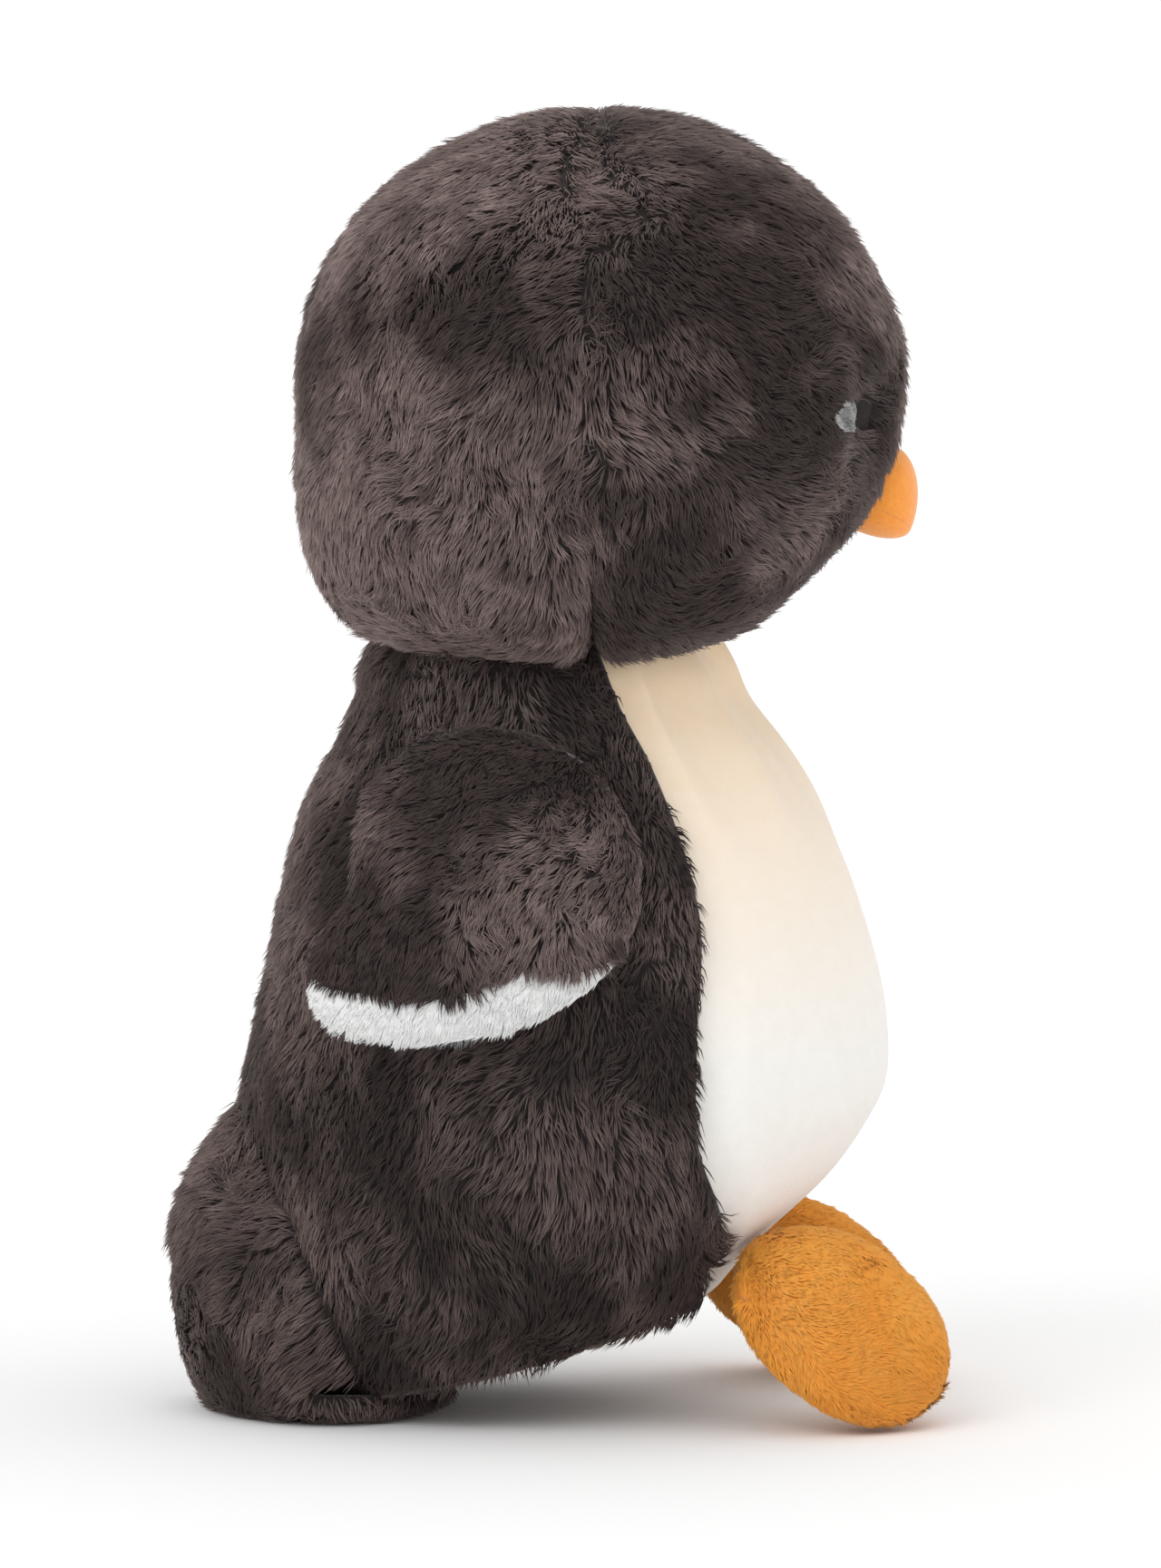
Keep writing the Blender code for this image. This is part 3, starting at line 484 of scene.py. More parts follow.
def cloth(name, patch, material, body, nodes=(), thickness=CLOTH_THICKNESS):
    """A panel: the patch as a smooth sheet with the cloth's thickness inward."""
    rows, columns = patch.points.shape[:2]
    index = np.arange(rows * columns).reshape(rows, columns)
    quads = np.stack([index[:-1, :-1], index[:-1, 1:], index[1:, 1:], index[1:, :-1]], axis=-1)
    quads = quads.reshape(-1, 4)
    if not patch.outward:
        quads = quads[:, ::-1]
    mesh = bpy.data.meshes.new(name)
    mesh.from_pydata(patch.points.reshape(-1, 3).tolist(), [], quads.tolist())
    mesh.shade_smooth()
    piece = link(name, mesh, material, body)
    weld = piece.modifiers.new("weld", "WELD")
    weld.merge_threshold = 0.00002
    solidify = piece.modifiers.new("thickness", "SOLIDIFY")
    solidify.thickness = thickness
    solidify.offset = -1.0
    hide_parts(*nodes)
    return piece


# Fur

RING = np.radians([90, 210, 330])
STEPS = np.array([0.0, 0.46, 1.0])          # along a lock: its two rings and its tip
THICKNESS = np.array([1.0, 0.86])           # of its two rings
SPINE_FLOOR = 0.0006      # no lock goes lower
LOCK_FLOOR = 0.0003


def clumps(points, size, seed):
    """A tuft number for each root: warped cells about a size across."""
    warped = points + 0.6 * size * wave_vectors(points, 2.2 * size, seed)
    cells = np.floor(warped / size).astype(int)
    _, tuft = np.unique(cells, axis=0, return_inverse=True)
    return tuft.ravel()


def tuft_mean(tuft, values):
    total = np.zeros((tuft.max() + 1,) + values.shape[1:])
    np.add.at(total, tuft, values)
    count = np.bincount(tuft).reshape((-1,) + (1,) * (values.ndim - 1))
    return (total / count)[tuft]


def grow(roots, normals, comb, rng, seed, length=0.0064, radius=0.00021, root_rise=52, tip_rise=14,
         curl=0.06, tuft_size=0.0034, pull=0.40, patchy=0.50, stretch=None):
    """The locks' spines: (locks, 3 points, 3), with the way across each lock and its shade."""
    count = len(roots)
    tuft = clumps(roots, tuft_size, seed)
    tufts = tuft.max() + 1
    field = wave_vectors(roots, 0.018, seed + 11) * patchy + wave_vectors(roots, 0.006, seed + 23) * 0.22
    own = rng.normal(size=(count, 3)) * 0.13 + rng.normal(size=(tufts, 3))[tuft] * 0.15
    flow = unit(comb) + field + own
    tangent = unit(flow - normals * np.sum(flow * normals, axis=-1, keepdims=True))
    side = np.cross(normals, tangent)
    lift = waves(roots, 0.020, seed + 5) * 14 * patchy + rng.normal(size=tufts)[tuft] * 4
    lift += rng.normal(size=count) * 5
    lengths = length * rng.uniform(0.74, 1.12, count) * rng.uniform(0.90, 1.10, tufts)[tuft]
    if stretch is not None:
        lengths = lengths * stretch
    rises = np.radians(np.stack([root_rise + 0.5 * lift, tip_rise + lift], axis=-1))
    spine = [roots - normals * 0.0004]
    for step in range(2):
        way = tangent * np.cos(rises[:, step, None]) + normals * np.sin(rises[:, step, None])
        spine.append(spine[-1] + way * (lengths * (STEPS[step + 1] - STEPS[step]))[:, None])
    spine = np.stack(spine, axis=1)
    bend = rng.normal(size=count) * curl + rng.normal(size=tufts)[tuft] * curl
    sway = bend[:, None] * lengths[:, None] * np.array([0.0, 0.35, 1.0])
    spine += side[:, None, :] * sway[..., None]
    gather = pull * np.array([0.0, 0.25, 0.72])
    spine += (tuft_mean(tuft, spine) - spine) * gather[None, :, None]
    shade = 0.5 + 0.13 * rng.normal(size=count) + 0.10 * rng.normal(size=tufts)[tuft]
    patch = 0.5 + 0.50 * waves(roots, 0.024, seed + 31) + 0.30 * waves(roots, 0.008, seed + 37)
    return spine, side, normals, radius * rng.uniform(0.8, 1.2, count), shade, patch


def lock_mesh(name, spine, side, normals, radius, shade, patch):
    """Closed three-sided locks: two rings and a tip each, rounded by their normals."""
    count, rings = len(spine), len(THICKNESS)
    spine[..., 2] = np.maximum(spine[..., 2], SPINE_FLOOR)
    ways = unit(spine[:, 1:] - spine[:, :-1])
    across = np.repeat(side[:, None, :], rings, axis=1)
    over = unit(np.cross(ways, across))
    round_ = (np.cos(RING)[None, None, :, None] * across[:, :, None, :]
              + np.sin(RING)[None, None, :, None] * over[:, :, None, :])
    size = radius[:, None, None, None] * THICKNESS[None, :, None, None]
    corners = 3 * rings
    vertices = spine[:, :rings, None, :] + round_ * size
    vertices = np.concatenate([vertices.reshape(count, corners, 3), spine[:, rings:]], axis=1)
    vertices[..., 2] = np.maximum(vertices[..., 2], LOCK_FLOOR)

    quads = []
    for low in range(0, corners - 3, 3):
        for corner in range(3):
            after = (corner + 1) % 3
            quads.append((low + corner, low + after, low + 3 + after, low + 3 + corner))
    last = corners - 3
    triangles = [(last + corner, last + (corner + 1) % 3, corners) for corner in range(3)] + [(2, 1, 0)]
    points = corners + 1
    base = points * np.arange(count)[:, None]
    loops = np.concatenate([
        base + np.array(quads).ravel(), base + np.array(triangles).ravel()], axis=1).ravel()
    sizes = np.tile(np.array([4] * len(quads) + [3] * len(triangles)), count)
    starts = np.concatenate([[0], np.cumsum(sizes)[:-1]])

    mesh = bpy.data.meshes.new(name)
    mesh.vertices.add(points * count)
    mesh.vertices.foreach_set("co", vertices.astype(np.float32).ravel())
    mesh.loops.add(len(loops))
    mesh.loops.foreach_set("vertex_index", loops.astype(np.int32))
    mesh.polygons.add(len(sizes))
    mesh.polygons.foreach_set("loop_start", starts.astype(np.int32))
    mesh.update(calc_edges=True)
    mesh.shade_smooth()

    along = np.tile(np.append(np.repeat(STEPS[:-1], 3), 1.0), count)
    colours = np.stack([
        along, np.repeat(np.clip(shade, 0, 1), points), np.repeat(np.clip(patch, 0, 1), points),
        np.ones(points * count)], axis=-1)
    attribute = mesh.color_attributes.new("fur", "FLOAT_COLOR", "POINT")
    attribute.data.foreach_set("color", colours.astype(np.float32).ravel())

    tip = ways[:, -1:] * 0.6 + over[:, -1:]
    soft = np.concatenate([round_.reshape(count, corners, 3), tip], axis=1)
    soft = unit(soft * 0.42 + normals[:, None, :] * 0.85)
    mesh.normals_split_custom_set_from_vertices(soft.reshape(-1, 3).astype(np.float32))
    return mesh


def with_patch_gain(grown, gain):
    """The same locks with their patches lightened by an amount for each lock."""
    return (*grown[:-1], grown[-1] + gain)


def fur(name, grown, material, body):
    """The locks as pieces of at most MOST_LOCKS, cut across the patch's longest way."""
    spine = grown[0]
    reach = spine[:, 0].max(axis=0) - spine[:, 0].min(axis=0)
    order = np.argsort(spine[:, 0, int(np.argmax(reach))], kind="stable")
    parts = math.ceil(len(order) / MOST_LOCKS)
    for number, chosen in enumerate(np.array_split(order, parts), start=1):
        mesh = lock_mesh(name, *(values[chosen] for values in grown))
        link(f"{name}_{number}", mesh, material, body)


# Materials

def new_material(name):
    material = bpy.data.materials.new(name)
    material.use_nodes = True
    nodes = material.node_tree.nodes
    return material, nodes, material.node_tree.links, nodes["Principled BSDF"]


def mix_colours(nodes, links, factor, first, second):
    """A mix node; each of its inputs is a value or a socket."""
    mix = nodes.new("ShaderNodeMix")
    mix.data_type = "RGBA"
    for socket, value in ((mix.inputs[0], factor), (mix.inputs[6], first), (mix.inputs[7], second)):
        if hasattr(value, "is_output"):
            links.new(value, socket)
        elif isinstance(value, tuple):
            socket.default_value = (*value, 1.0)
        else:
            socket.default_value = value
    return mix.outputs[2]


def ramp(nodes, links, value, start, end):
    node = nodes.new("ShaderNodeMapRange")
    links.new(value, node.inputs["Value"])
    node.inputs["From Min"].default_value = start
    node.inputs["From Max"].default_value = end
    return node.outputs["Result"]


def noise(nodes, links, scale, detail=3.0):
    place = nodes.new("ShaderNodeTexCoord")
    node = nodes.new("ShaderNodeTexNoise")
    node.inputs["Scale"].default_value = scale
    node.inputs["Detail"].default_value = detail
    links.new(place.outputs["Object"], node.inputs["Vector"])
    return node.outputs["Fac"]


def add_bump(nodes, links, shader, height, strength, distance):
    node = nodes.new("ShaderNodeBump")
    node.inputs["Strength"].default_value = strength
    node.inputs["Distance"].default_value = distance
    links.new(height, node.inputs["Height"])
    links.new(node.outputs["Normal"], shader.inputs["Normal"])


def fur_material(name, root, tip, light_tip, sheen, sheen_tint, dulling=0.95):
    """Pile: roots darkened as painted shade deep in the pile, lighter tips, each lock and each patch in its
    own tone; on the head the patches also carry painted light and shade.
    """
    material, nodes, links, shader = new_material(name)
    attribute = nodes.new("ShaderNodeAttribute")
    attribute.attribute_name = "fur"
    parts = nodes.new("ShaderNodeSeparateColor")
    links.new(attribute.outputs["Color"], parts.inputs["Color"])
    along, shade, patch = parts.outputs[0], parts.outputs[1], parts.outputs[2]
    own = ramp(nodes, links, shade, 0.1, 0.9)
    dull = mix_colours(nodes, links, own, tuple(dulling * channel for channel in tip), tip)
    bright = mix_colours(nodes, links, own, tip, light_tip)
    upper = mix_colours(nodes, links, ramp(nodes, links, patch, 0.05, 0.95), dull, bright)
    # Painted shade: each lock darkens towards its root colour, deep in the pile.
    colour = mix_colours(nodes, links, ramp(nodes, links, along, 0.0, 0.8), root, upper)
    links.new(colour, shader.inputs["Base Color"])
    shader.inputs["Roughness"].default_value = 0.62
    shader.inputs["Specular IOR Level"].default_value = 0.32
    shader.inputs["Sheen Weight"].default_value = sheen
    shader.inputs["Sheen Roughness"].default_value = 0.45
    shader.inputs["Sheen Tint"].default_value = (*sheen_tint, 1.0)
    return material


def cloth_material(name, dark, light, grain=900.0, bump_strength=0.5, sheen=0.3, roughness=0.9):
    """Felt or a knitted backing: a fine grain in colour and height."""
    material, nodes, links, shader = new_material(name)
    fine = noise(nodes, links, grain)
    links.new(mix_colours(nodes, links, fine, dark, light), shader.inputs["Base Color"])
    add_bump(nodes, links, shader, fine, bump_strength, 0.0004)
    shader.inputs["Roughness"].default_value = roughness
    shader.inputs["Sheen Weight"].default_value = sheen
    return material


PALE_CREAM = (0.90, 0.885, 0.85)
PAINTED_PEACH_SHADE = (0.95, 0.77, 0.56)


def belly_material():
    """Cream velour, nearly white below, with a painted warm shade under the chin, where it is drawn in."""
    material, nodes, links, shader = new_material("belly_velour")
    place = nodes.new("ShaderNodeTexCoord")
    split = nodes.new("ShaderNodeSeparateXYZ")
    links.new(place.outputs["Object"], split.inputs[0])
    height = ramp(nodes, links, split.outputs["Z"], BELLY_PALE, BELLY_FULL_SHADE)
    pale = mix_colours(nodes, links, noise(nodes, links, 240.0), (0.84, 0.82, 0.775), PALE_CREAM)
    # Painted shade: towards the chin the cream is turned peach.
    painted_warm_shade = mix_colours(nodes, links, noise(nodes, links, 160.0), (0.92, 0.68, 0.44), PAINTED_PEACH_SHADE)
    links.new(mix_colours(nodes, links, height, pale, painted_warm_shade), shader.inputs["Base Color"])
    add_bump(nodes, links, shader, noise(nodes, links, 1500.0), 0.35, 0.0003)
    shader.inputs["Roughness"].default_value = 0.85
    shader.inputs["Sheen Weight"].default_value = 0.25
    shader.inputs["Sheen Roughness"].default_value = 0.5
    return material


def plain_material(name, colour, roughness, mottle=0.08, scale=300.0, bump_strength=0.2):
    material, nodes, links, shader = new_material(name)
    darker = tuple(channel * (1 - mottle) for channel in colour)
    grain = noise(nodes, links, scale)
    links.new(mix_colours(nodes, links, grain, darker, colour), shader.inputs["Base Color"])
    add_bump(nodes, links, shader, grain, bump_strength, 0.0003)
    shader.inputs["Roughness"].default_value = roughness
    return material


def gloss_material():
    """The black glass-like plastic of the eye beads."""
    material, _, _, shader = new_material("eye_gloss")
    shader.inputs["Base Color"].default_value = (0.006, 0.006, 0.007, 1.0)
    shader.inputs["Roughness"].default_value = 0.06
    shader.inputs["Coat Weight"].default_value = 0.6
    return material


DARK_SHEEN = (0.85, 0.70, 0.66)
# Each pile's first colour is its roots', darker than its tips as painted shade deep in the pile.
head_fur = fur_material(
    "head_fur", (0.018, 0.011, 0.010), (0.084, 0.054, 0.049), (0.370, 0.275, 0.255), 0.30, DARK_SHEEN, 0.18)
body_fur = fur_material(
    "body_fur", (0.013, 0.008, 0.007), (0.060, 0.038, 0.034), (0.260, 0.190, 0.175), 0.26, DARK_SHEEN, 0.30)
white_fur = fur_material(
    "white_fur", (1.0, 1.0, 0.995), (1.0, 1.0, 0.995), (1.0, 1.0, 1.0), 0.6, (1.0, 1.0, 1.0))
orange_fur = fur_material(
    "orange_fur", (1.0, 0.36, 0.035), (1.0, 0.38, 0.045), (1.0, 0.47, 0.090), 0.55, (1.0, 0.62, 0.25))
dark_cloth = cloth_material("dark_cloth", (0.010, 0.007, 0.006), (0.022, 0.015, 0.013))
white_cloth = cloth_material("white_cloth", (0.93, 0.93, 0.92), (0.98, 0.98, 0.97))
orange_cloth = cloth_material("orange_cloth", (0.90, 0.28, 0.03), (0.96, 0.36, 0.05))
beak_felt = cloth_material("beak_felt", (0.90, 0.27, 0.022), (1.0, 0.39, 0.05), 700.0, 0.45, 0.35, 0.8)
eye_felt = cloth_material("eye_felt", (0.84, 0.84, 0.83), (0.93, 0.93, 0.92), 800.0, 0.5)
belly_velour = belly_material()
fibre = plain_material("fibre", (0.88, 0.88, 0.87), 0.95, 0.1, 500.0, 0.6)
gloss = gloss_material()


# Parts of the penguin

def head_panels(rng):
    """Four cloth panels and their fur, parted at the ear-to-ear seam."""
    span = HEAD_TOP_RISE - HEAD_OPENING_RISE
    for side, side_name in SIDES:
        for part, first, last in (("face", 0.0, EAR_SEAM_TURN), ("back", EAR_SEAM_TURN, math.pi)):
            def place(across, up):
                turn = side * (first + (last - first) * across)
                return head_surface(turn, HEAD_OPENING_RISE + span * up)

            patch = Patch(place, 90, 60, HEAD_CENTRE)
            node = f"head_{part}_{side_name}"
            cloth(f"{node}_cloth", patch, dark_cloth, "head", [node])
            roots, normals = patch.sample(HEAD_LOCKS, rng)
            around = np.abs(np.arctan2(roots[:, 0], HEAD_CENTRE[1] - roots[:, 1]))
            behind = smoothstep(*NAPE_TURNS, around)
            combs = stacked(side * 0.05, -1.0 + 1.6 * behind, -0.85 - 0.15 * behind)
            keep = np.ones(len(roots), bool)
            if part == "face":
                keep = clear_of_face_parts(roots, side)
            seed = 100 + 10 * (part == "back") + (side > 0)
            grown = grow(roots[keep], normals[keep], combs[keep], rng, seed)
            # Painted light and shade on the lower head: locks lightened towards the nape, as if lit from
            # behind, and darkened on the face, as if in shade.
            low = smoothstep(0.02, -0.04, roots[:, 2] - HEAD_CENTRE[2])
            nape, face = 0.18 + 1.15 * low, 0.14 + 0.50 * low
            gain = nape * behind - face * (1 - behind)
            fur(f"{node}_fur", with_patch_gain(grown, gain[keep]), head_fur, "head")


def clear_of_face_parts(roots, side):
    """False for roots on the eye patch or under the beak."""
    away = roots - HEAD_CENTRE
    turn = np.arctan2(side * away[:, 0], -away[:, 1])
    rise = np.arcsin(away[:, 2] / np.linalg.norm(away, axis=1))
    off_eye = np.full(len(roots), np.inf)
    for middle_turn, middle_rise, half_turn, half_rise in (BARE_PATCH, BARE_BEAD):
        reach = np.hypot((turn - middle_turn) / half_turn, (rise - middle_rise) / half_rise)
        off_eye = np.minimum(off_eye, reach)
    off_beak = np.hypot(roots[:, 0] / BARE_BEAK[0], (roots[:, 2] - BEAK_BASE.z) / BARE_BEAK[1])
    return (off_eye > 1.0) & ((off_beak > 1.0) | (roots[:, 1] > HEAD_CENTRE[1]))


def head_filling():
    """The stuffing, drawn in where the cloth is."""
    def place(across, up):
        turn = 2 * math.pi * across - math.pi
        return head_surface(turn, math.pi * (up - 0.5) * 0.999, CLOTH_INSET + 0.0020)

    patch = Patch(place, 60, 80, HEAD_CENTRE)
    cloth("head_filling", patch, fibre, "head", ["head_stuffing"], thickness=0.0012)


def body_panels(rng):
    """The cream belly, gathered under the chin, and the two dark back panels with their fur."""
    centre = np.array((0.0, -0.005, 0.085))
    span = NECK_TOP - HEM_HEIGHT

    def belly(across, up):
        height = HEM_HEIGHT + span * up
        turn = (2 * across - 1) * (belly_seam(height) + 0.03)
        dip = smoothstep(0.84, 0.97, np.abs(2 * across - 1))
        under = CLOTH_INSET + SEAM_TUCK
        point = body_surface(turn, height, VELOUR_INSET + (under - VELOUR_INSET) * dip)
        gather = GATHER_DEPTH * smoothstep(*GATHER_HEIGHTS, height)
        folds = np.sin(9.5 * turn + 1.2) + 0.6 * np.sin(17 * turn + 40 * (height - 0.15) + 0.4)
        point[..., 1] -= gather * folds + BELLY_SOFTNESS * waves(point, 0.022, 7)
        return point

    patch = Patch(belly, 110, 90, centre)
    cloth("belly_cloth", patch, belly_velour, "body", ["belly_panel"])

    for side, side_name in SIDES:
        def back(across, up):
            height = HEM_HEIGHT + span * up
            seam = belly_seam(height)
            turn = seam + (math.pi - seam) * across
            return body_surface(side * turn, height, CLOTH_INSET)

        patch = Patch(back, 110, 70, centre)
        patch.push(BACK_SOFTNESS * waves(patch.points, 0.030, 9))
        node = f"back_panel_{side_name}"
        cloth(f"{node}_cloth", patch, dark_cloth, "body", [node])
        roots, normals = patch.sample(BACK_LOCKS, rng)
        combs = np.tile(np.array((0.0, 0.12, -1.0)), (len(roots), 1))
        seam = np.abs(np.arctan2(np.abs(roots[:, 0]), -(roots[:, 1] + 0.004)))
        near = smoothstep(0.34, 0.0, seam - belly_seam(np.clip(roots[:, 2], 0.03, 0.18)))
        low = smoothstep(0.10, 0.05, roots[:, 2])
        combs[:, 1] -= near * (0.20 + 1.0 * low)
        stretch = 1 + near * (0.25 * low - 0.15)
        grown = grow(roots, normals, combs, rng, 200 + (side > 0), stretch=stretch, tip_rise=11)
        fur(f"{node}_fur", grown, body_fur, "body")


def seat(rng):
    """The dark panel under the body, which sags between its hem and the middle."""
    def place(across, up):
        reach = 1 - up
        hem = body_surface(2 * math.pi * across, np.full(np.shape(across), HEM_HEIGHT), CLOTH_INSET)
        front = body_surface(np.array(0.0), np.array(HEM_HEIGHT), 0.0)
        back = body_surface(np.array(math.pi), np.array(HEM_HEIGHT), 0.0)
        middle = (front + back) / 2
        point = middle + (hem - middle) * reach[..., None]
        point[..., 2] -= SEAT_SAG * (1 - reach ** 2)
        point[..., 2] = np.maximum(point[..., 2], SEAT_FLOOR)
        return point

    patch = Patch(place, 24, 72, np.array((0.0, 0.0, 0.09)))
    cloth("seat_cloth", patch, dark_cloth, "body", ["seat_panel"])
    roots, normals = patch.sample(10000, rng)
    combs = np.broadcast_to(np.array((0.0, 1.0, -0.1)), roots.shape)
    grown = grow(roots, normals, combs, rng, 240, length=0.0048, root_rise=40, tip_rise=5)
    fur("seat_fur", grown, body_fur, "body")


def tail(rng):
    """The under panel that the toy stands on, and the upper panel."""
    centre = np.array((0.0, TAIL_MIDDLE_Y, 0.030))

    def under(across, up):
        return tail_dish(1 - up, 2 * math.pi * across, 0.0028)

    patch = Patch(under, 40, 80, centre)
    cloth("tail_under_cloth", patch, dark_cloth, "body", ["tail_under_panel"])
    roots, normals = patch.sample(11000, rng)
    outward = roots - centre
    outward[:, 2] = 0.0
    combs = unit(outward) + np.array((0.0, 0.2, -0.45))
    grown = grow(roots, normals, combs, rng, 260, length=0.0054, root_rise=46, tip_rise=7)
    fur("tail_under_fur", with_patch_gain(grown, 0.15), body_fur, "body")

    patch = Patch(lambda across, up: tail_top(across, up, 0.0026), 26, 60, np.array((0.0, 0.030, 0.02)))
    cloth("tail_upper_cloth", patch, dark_cloth, "body", ["tail_upper_panel"])
    roots, normals = patch.sample(9000, rng)
    combs = np.broadcast_to(np.array((0.0, 0.7, -0.9)), roots.shape)
    grown = grow(roots, normals, combs, rng, 270, length=0.0068, tip_rise=15)
    fur("tail_upper_fur", with_patch_gain(grown, 0.20), body_fur, "body")


def wing(side, side_name, rng):
    """A dark outer panel, a white inner one, and the band of white turned over the lower edge."""
    body = f"wing_{side_name}"
    rest = wing_surface(side, np.array(0.0), np.array(0.0), 0.0)

    def edge_reach(angle):
        return 1 - wing_band(angle) / smooth_outline(WING_OUTLINE, angle)

    def outer(across, up):
        angle = 2 * math.pi * across
        reach = (1 - up) ** 0.8 * edge_reach(angle)
        return wing_surface(side, reach, angle, WING_OUTER_DOME - CLOTH_INSET)

    def inner(across, up):
        angle = 2 * math.pi * across
        rim = 1 - WING_INNER_SHORT * (1 - wing_band(angle) / WING_BAND)
        return wing_surface(side, (1 - up) ** 0.8 * rim, angle, -(WING_INNER_DOME - 0.0010))

    def band(across, up):
        angle = WING_BAND_FROM + (WING_BAND_TO - WING_BAND_FROM) * across
        reach = 1 - up * (1 - edge_reach(angle))
        return wing_surface(side, reach, angle, WING_OUTER_DOME - CLOTH_INSET)

    dark = Patch(outer, 34, 90, rest - np.array((side * 0.02, 0, 0)))
    node = f"wing_outer_{side_name}"
    cloth(f"{node}_cloth", dark, dark_cloth, body, [node])
    roots, normals = dark.sample(12000, rng)
    combs = np.broadcast_to(np.array((0.0, 0.55, -0.85)), roots.shape)
    stretch = 1 - 0.25 * smoothstep(0.6, 1.0, np.hypot(
        roots[:, 1] - WING_MIDDLE[0], roots[:, 2] - WING_MIDDLE[1]) / 0.034)
    grown = grow(roots, normals, combs, rng, 300 + (side > 0), length=0.0058, stretch=stretch,
                 tip_rise=11)
    fur(f"{node}_fur", with_patch_gain(grown, -0.22), head_fur, body)

    pale = Patch(inner, 34, 90, rest + np.array((side * 0.02, 0, 0)))
    node = f"wing_inner_{side_name}"
    cloth(f"{node}_cloth", pale, white_cloth, body, [node])
    roots, normals = pale.sample(9000, rng)
    combs = np.broadcast_to(np.array((0.0, 0.55, -0.85)), roots.shape)
    grown = grow(roots, normals, combs, rng, 320 + (side > 0), length=0.0036, radius=0.00024,
                 tip_rise=15)
    fur(f"{node}_fur", grown, white_fur, body)

    trim = Patch(band, 10, 120, rest - np.array((side * 0.02, 0, 0)))
    cloth(f"wing_trim_{side_name}_cloth", trim, white_cloth, body)
    roots, normals = trim.sample(4500, rng)
    combs = np.broadcast_to(np.array((0.0, 0.35, -0.95)), roots.shape)
    grown = grow(roots, normals, combs, rng, 340 + (side > 0), length=0.0038, radius=0.00024,
                 root_rise=30, tip_rise=8)
    fur(f"wing_trim_{side_name}_fur", grown, white_fur, body)


def wing_root(side, side_name, rng):
    """The tuck of body cloth at the shoulder, to which the wing's upper edge is sewn."""
    middle = np.array((side, 1, 1)) * np.array(WING_ROOT)

    def place(across, up):
        angle = 2 * math.pi * across
        rise = math.pi * (up - 0.5) * 0.998
        round_ = stacked(np.cos(rise) * np.cos(angle), np.cos(rise) * np.sin(angle), np.sin(rise))
        return middle + np.array(WING_ROOT_HALF) * round_

    patch = Patch(place, 24, 40, middle)
    cloth(f"wing_root_{side_name}_cloth", patch, dark_cloth, "body")
    roots, normals = patch.sample(2600, rng)
    combs = np.broadcast_to(np.array((side * 0.5, 0.1, -1.0)), roots.shape)
    grown = grow(roots, normals, combs, rng, 360 + (side > 0), length=0.0042, root_rise=34, tip_rise=6)
    fur(f"wing_root_{side_name}_fur", grown, body_fur, "body")


def foot(side, side_name, rng):
    """A top panel and a sole, both in short orange pile."""
    body = f"foot_{side_name}"
    rest = foot_surface(side, np.array(0.0), np.array(0.0), 0.0)
    up_way = foot_matrix(side)[:, 2]

    def top(across, up):
        return foot_surface(side, (1 - up) ** 0.8, 2 * math.pi * across, FOOT_TOP_DOME - 0.0020)

    def sole(across, up):
        return foot_surface(side, (1 - up) ** 0.8, 2 * math.pi * across, -(FOOT_SOLE_DOME - 0.0014))

    for part, place, sign, count in (("top", top, 1, 15000), ("sole", sole, -1, 11000)):
        patch = Patch(place, 34, 90, rest - sign * up_way * 0.02)
        node = f"foot_{part}_{side_name}"
        cloth(f"{node}_cloth", patch, orange_cloth, body, [node])
        roots, normals = patch.sample(count, rng)
        combs = wave_vectors(roots, 0.008, 400 + sign) * 0.5 + np.array((0.0, -0.8, -0.5))
        grown = grow(roots, normals, combs, rng, 420 + (side > 0), length=0.0036, radius=0.00026,
                     root_rise=30, tip_rise=9, curl=0.12, tuft_size=0.0022, pull=0.15, patchy=0.32)
        fur(f"{node}_fur", grown, orange_fur, body)


def beak():
    """Two felt panels, sewn along the seam that runs round to the tip."""
    first_seam, last_seam = BEAK_SEAM
    halves = ("upper", last_seam - 2 * math.pi, first_seam), ("lower", first_seam, last_seam)
    for name, first, last in halves:
        def place(across, up):
            # from inside the face, past the rim at a reach of 1, to the tip
            return beak_surface(1.35 - 1.349 * up, first + (last - first) * across)

        patch = Patch(place, 40, 60, np.array(BEAK_BASE - BEAK_OUT * 0.004))
        node = f"beak_{name}_panel"
        nodes = [node] if name == "lower" else [node, "beak_stuffing"]
        cloth(f"{node}_felt", patch, beak_felt, "head", nodes, thickness=0.0011)


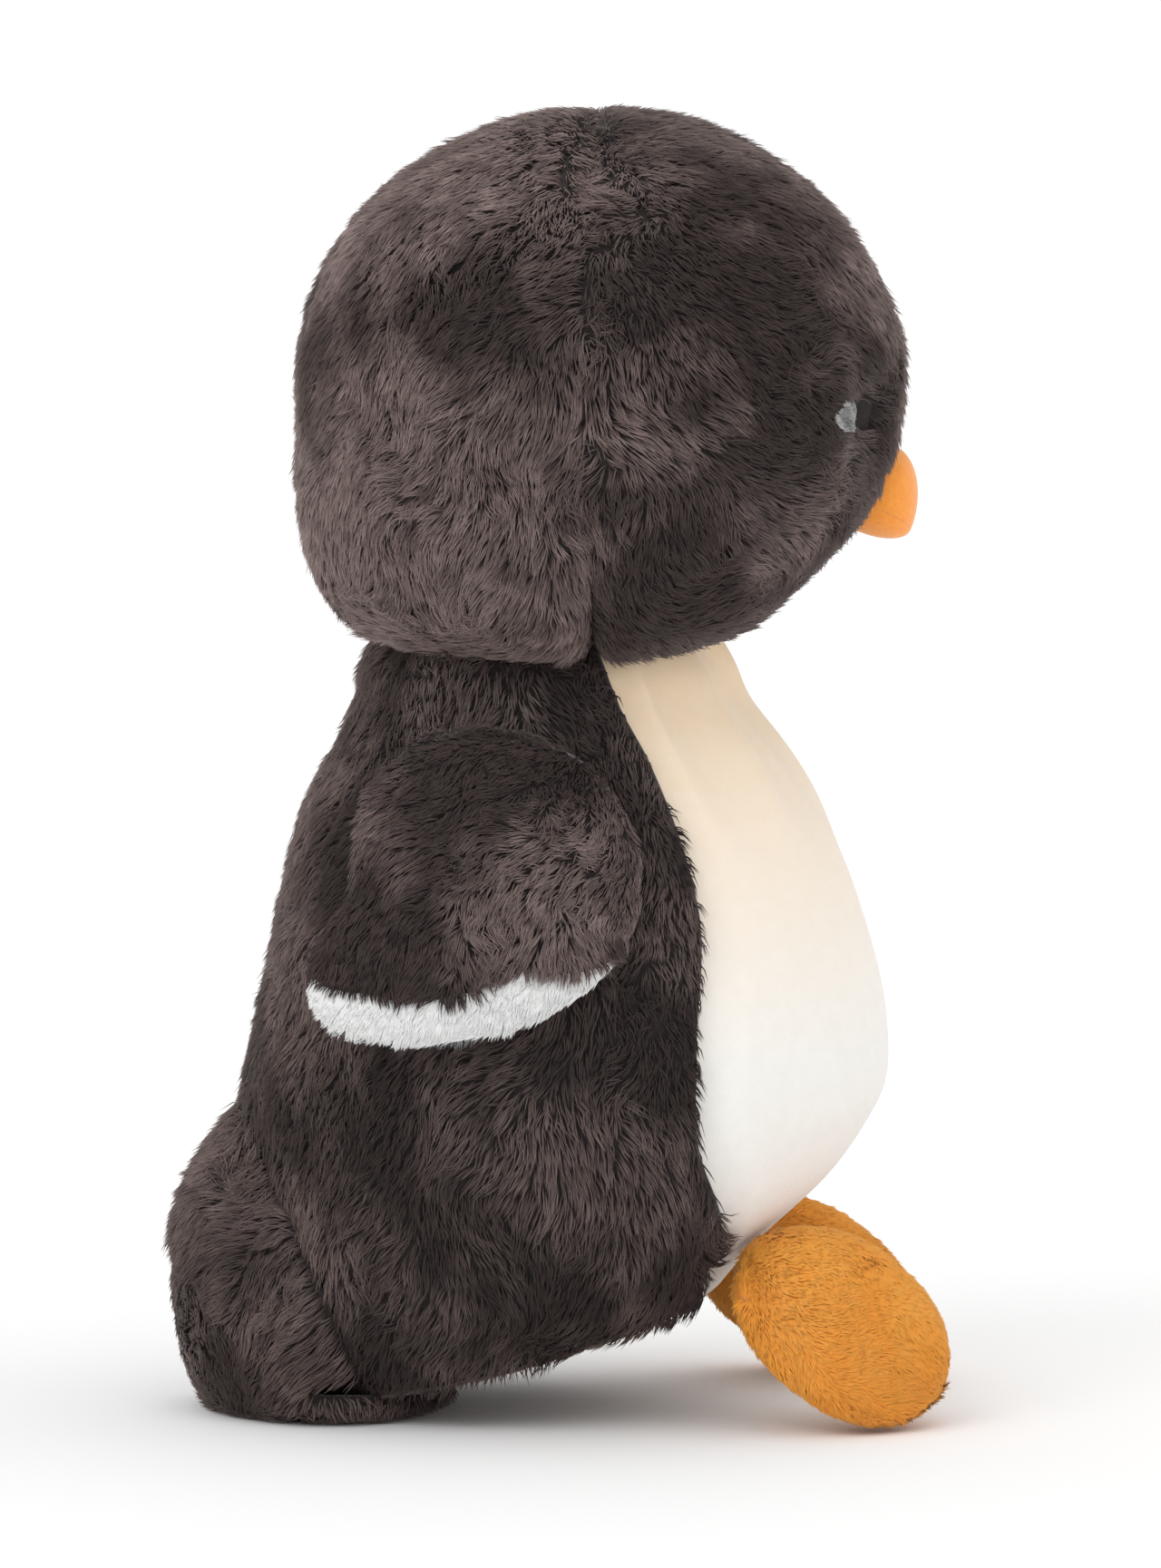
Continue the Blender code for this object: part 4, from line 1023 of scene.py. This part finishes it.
def eye(side, side_name, rng):
    """A fuzzy white almond on the recess's edge, and a glossy bead and its washer at the bottom."""
    def almond(across, up_part):
        angle = 2 * math.pi * across
        reach = 1 - 0.999 * up_part
        wide = EYE_PATCH_HALF_TURN * reach * np.cos(angle)
        high = EYE_PATCH_HALF_RISE * reach * np.sin(angle) * (1 - 0.3 * np.cos(angle))
        return head_surface(side * (EYE_PATCH_TURN + wide), EYE_RISE + high, CLOTH_INSET - EYE_PATCH_RAISED)

    patch = Patch(almond, 16, 40, HEAD_CENTRE)
    cloth(f"eye_patch_{side_name}_felt", patch, eye_felt, "head", [f"eye_patch_{side_name}"])
    roots, normals = patch.sample(900, rng)
    combs = np.broadcast_to(np.array((side * 0.9, 0.3, -0.5)), roots.shape)
    grown = grow(roots, normals, combs, rng, 500 + (side > 0), length=0.0034, radius=0.00020,
                 root_rise=64, tip_rise=30)
    fur(f"eye_patch_{side_name}_fuzz", grown, white_fur, "head")

    depth = CLOTH_INSET + EYE_DIMPLE - EYE_BEAD_RAISED
    middle = head_form(np.array(side * EYE_TURN), np.array(EYE_RISE), depth)
    out = unit(middle - HEAD_CENTRE)
    across_way = unit(np.cross((0.0, 0.0, 1.0), out))
    up_way = np.cross(out, across_way)

    def dome(across, up_part):
        bend = 0.62 * math.pi * (1 - 0.9995 * up_part)
        angle = 2 * math.pi * across
        local = (across_way * (np.sin(bend) * np.cos(angle))[..., None]
                 + up_way * (np.sin(bend) * np.sin(angle))[..., None]
                 + out * (0.75 * np.cos(bend))[..., None])
        return middle + EYE_BEAD_RADIUS * local

    def washer(across, up_part):
        angle = 2 * math.pi * across
        local = (across_way * np.cos(angle)[..., None] + up_way * np.sin(angle)[..., None])
        return middle - out * WASHER_DEPTH + WASHER_RADIUS * (1 - 0.7 * up_part)[..., None] * local

    node = f"eye_bead_{side_name}"
    cloth(f"{node}_dome", Patch(dome, 20, 40, middle), gloss, "head", [node])
    node = f"eye_washer_{side_name}"
    cloth(f"{node}_disc", Patch(washer, 6, 40, HEAD_CENTRE), gloss, "head", [node],
          thickness=0.0010)


def inner_materials():
    """The frame's own solids that stay inside the toy."""
    looks = {
        "fibre": fibre, "calico": plain_material("calico", (0.80, 0.74, 0.62), 0.9),
        "pellets": plain_material("pellets", (0.70, 0.72, 0.74), 0.45, 0.25, 420.0, 0.6),
        "thread": plain_material("thread", (0.04, 0.03, 0.03), 0.8),
        "clear_plastic": plain_material("clear_plastic", (0.75, 0.76, 0.76), 0.3, 0.04),
    }
    for part in frame["record"]["subparts"]:
        node = frame["nodes"][part["node"]]
        if part["material_slot"] in looks:
            node.data.materials.clear()
            node.data.materials.append(looks[part["material_slot"]])


def studio():
    """A white floor and soft light from all round, strongest from above the camera's side."""
    mesh = bpy.data.meshes.new("floor")
    half = FLOOR_HALF
    corners = [(-half, -half, 0), (half, -half, 0), (half, half, 0), (-half, half, 0)]
    mesh.from_pydata(corners, [], [(0, 1, 2, 3)])
    floor = bpy.data.objects.new("floor", mesh)
    material, _, _, shader = new_material("floor_white")
    shader.inputs["Base Color"].default_value = (0.98, 0.98, 0.98, 1.0)
    shader.inputs["Roughness"].default_value = 0.9
    mesh.materials.append(material)
    bpy.context.scene.collection.objects.link(floor)

    world = bpy.data.worlds.new("studio")
    bpy.context.scene.world = world
    world.use_nodes = True
    background = world.node_tree.nodes["Background"]
    background.inputs["Color"].default_value = (1.0, 1.0, 1.0, 1.0)
    background.inputs["Strength"].default_value = SKY_STRENGTH

    light = bpy.data.lights.new("window", "SUN")
    light.energy = WINDOW_STRENGTH
    light.angle = WINDOW_ANGLE
    lamp = bpy.data.objects.new("window", light)
    lamp.rotation_euler = Vector(WINDOW_WAY).to_track_quat("Z", "Y").to_euler()
    bpy.context.scene.collection.objects.link(lamp)


def camera():
    """Seen from its right side, a little from behind and above, through a long lens."""
    level = math.cos(CAMERA_ELEVATION)
    across, along = math.sin(CAMERA_AZIMUTH), -math.cos(CAMERA_AZIMUTH)
    back = Vector((across * level, along * level, math.sin(CAMERA_ELEVATION)))
    data = bpy.data.cameras.new("camera")
    data.sensor_width = SENSOR_WIDTH
    data.lens = data.sensor_width * CAMERA_DISTANCE / VIEW_HEIGHT
    item = bpy.data.objects.new("camera", data)
    item.location = Vector(CAMERA_TARGET) + back * CAMERA_DISTANCE
    item.rotation_euler = (-back).to_track_quat("-Z", "Y").to_euler()
    bpy.context.scene.collection.objects.link(item)
    bpy.context.scene.camera = item


camera()
studio()
inner_materials()
random = np.random.default_rng(5)
head_panels(random)
head_filling()
body_panels(random)
seat(random)
tail(random)
beak()
for wing_side, wing_name in SIDES:
    wing(wing_side, wing_name, random)
    wing_root(wing_side, wing_name, random)
    foot(wing_side, wing_name, random)
    eye(wing_side, wing_name, random)

bpy.context.scene.view_settings.view_transform = "Standard"
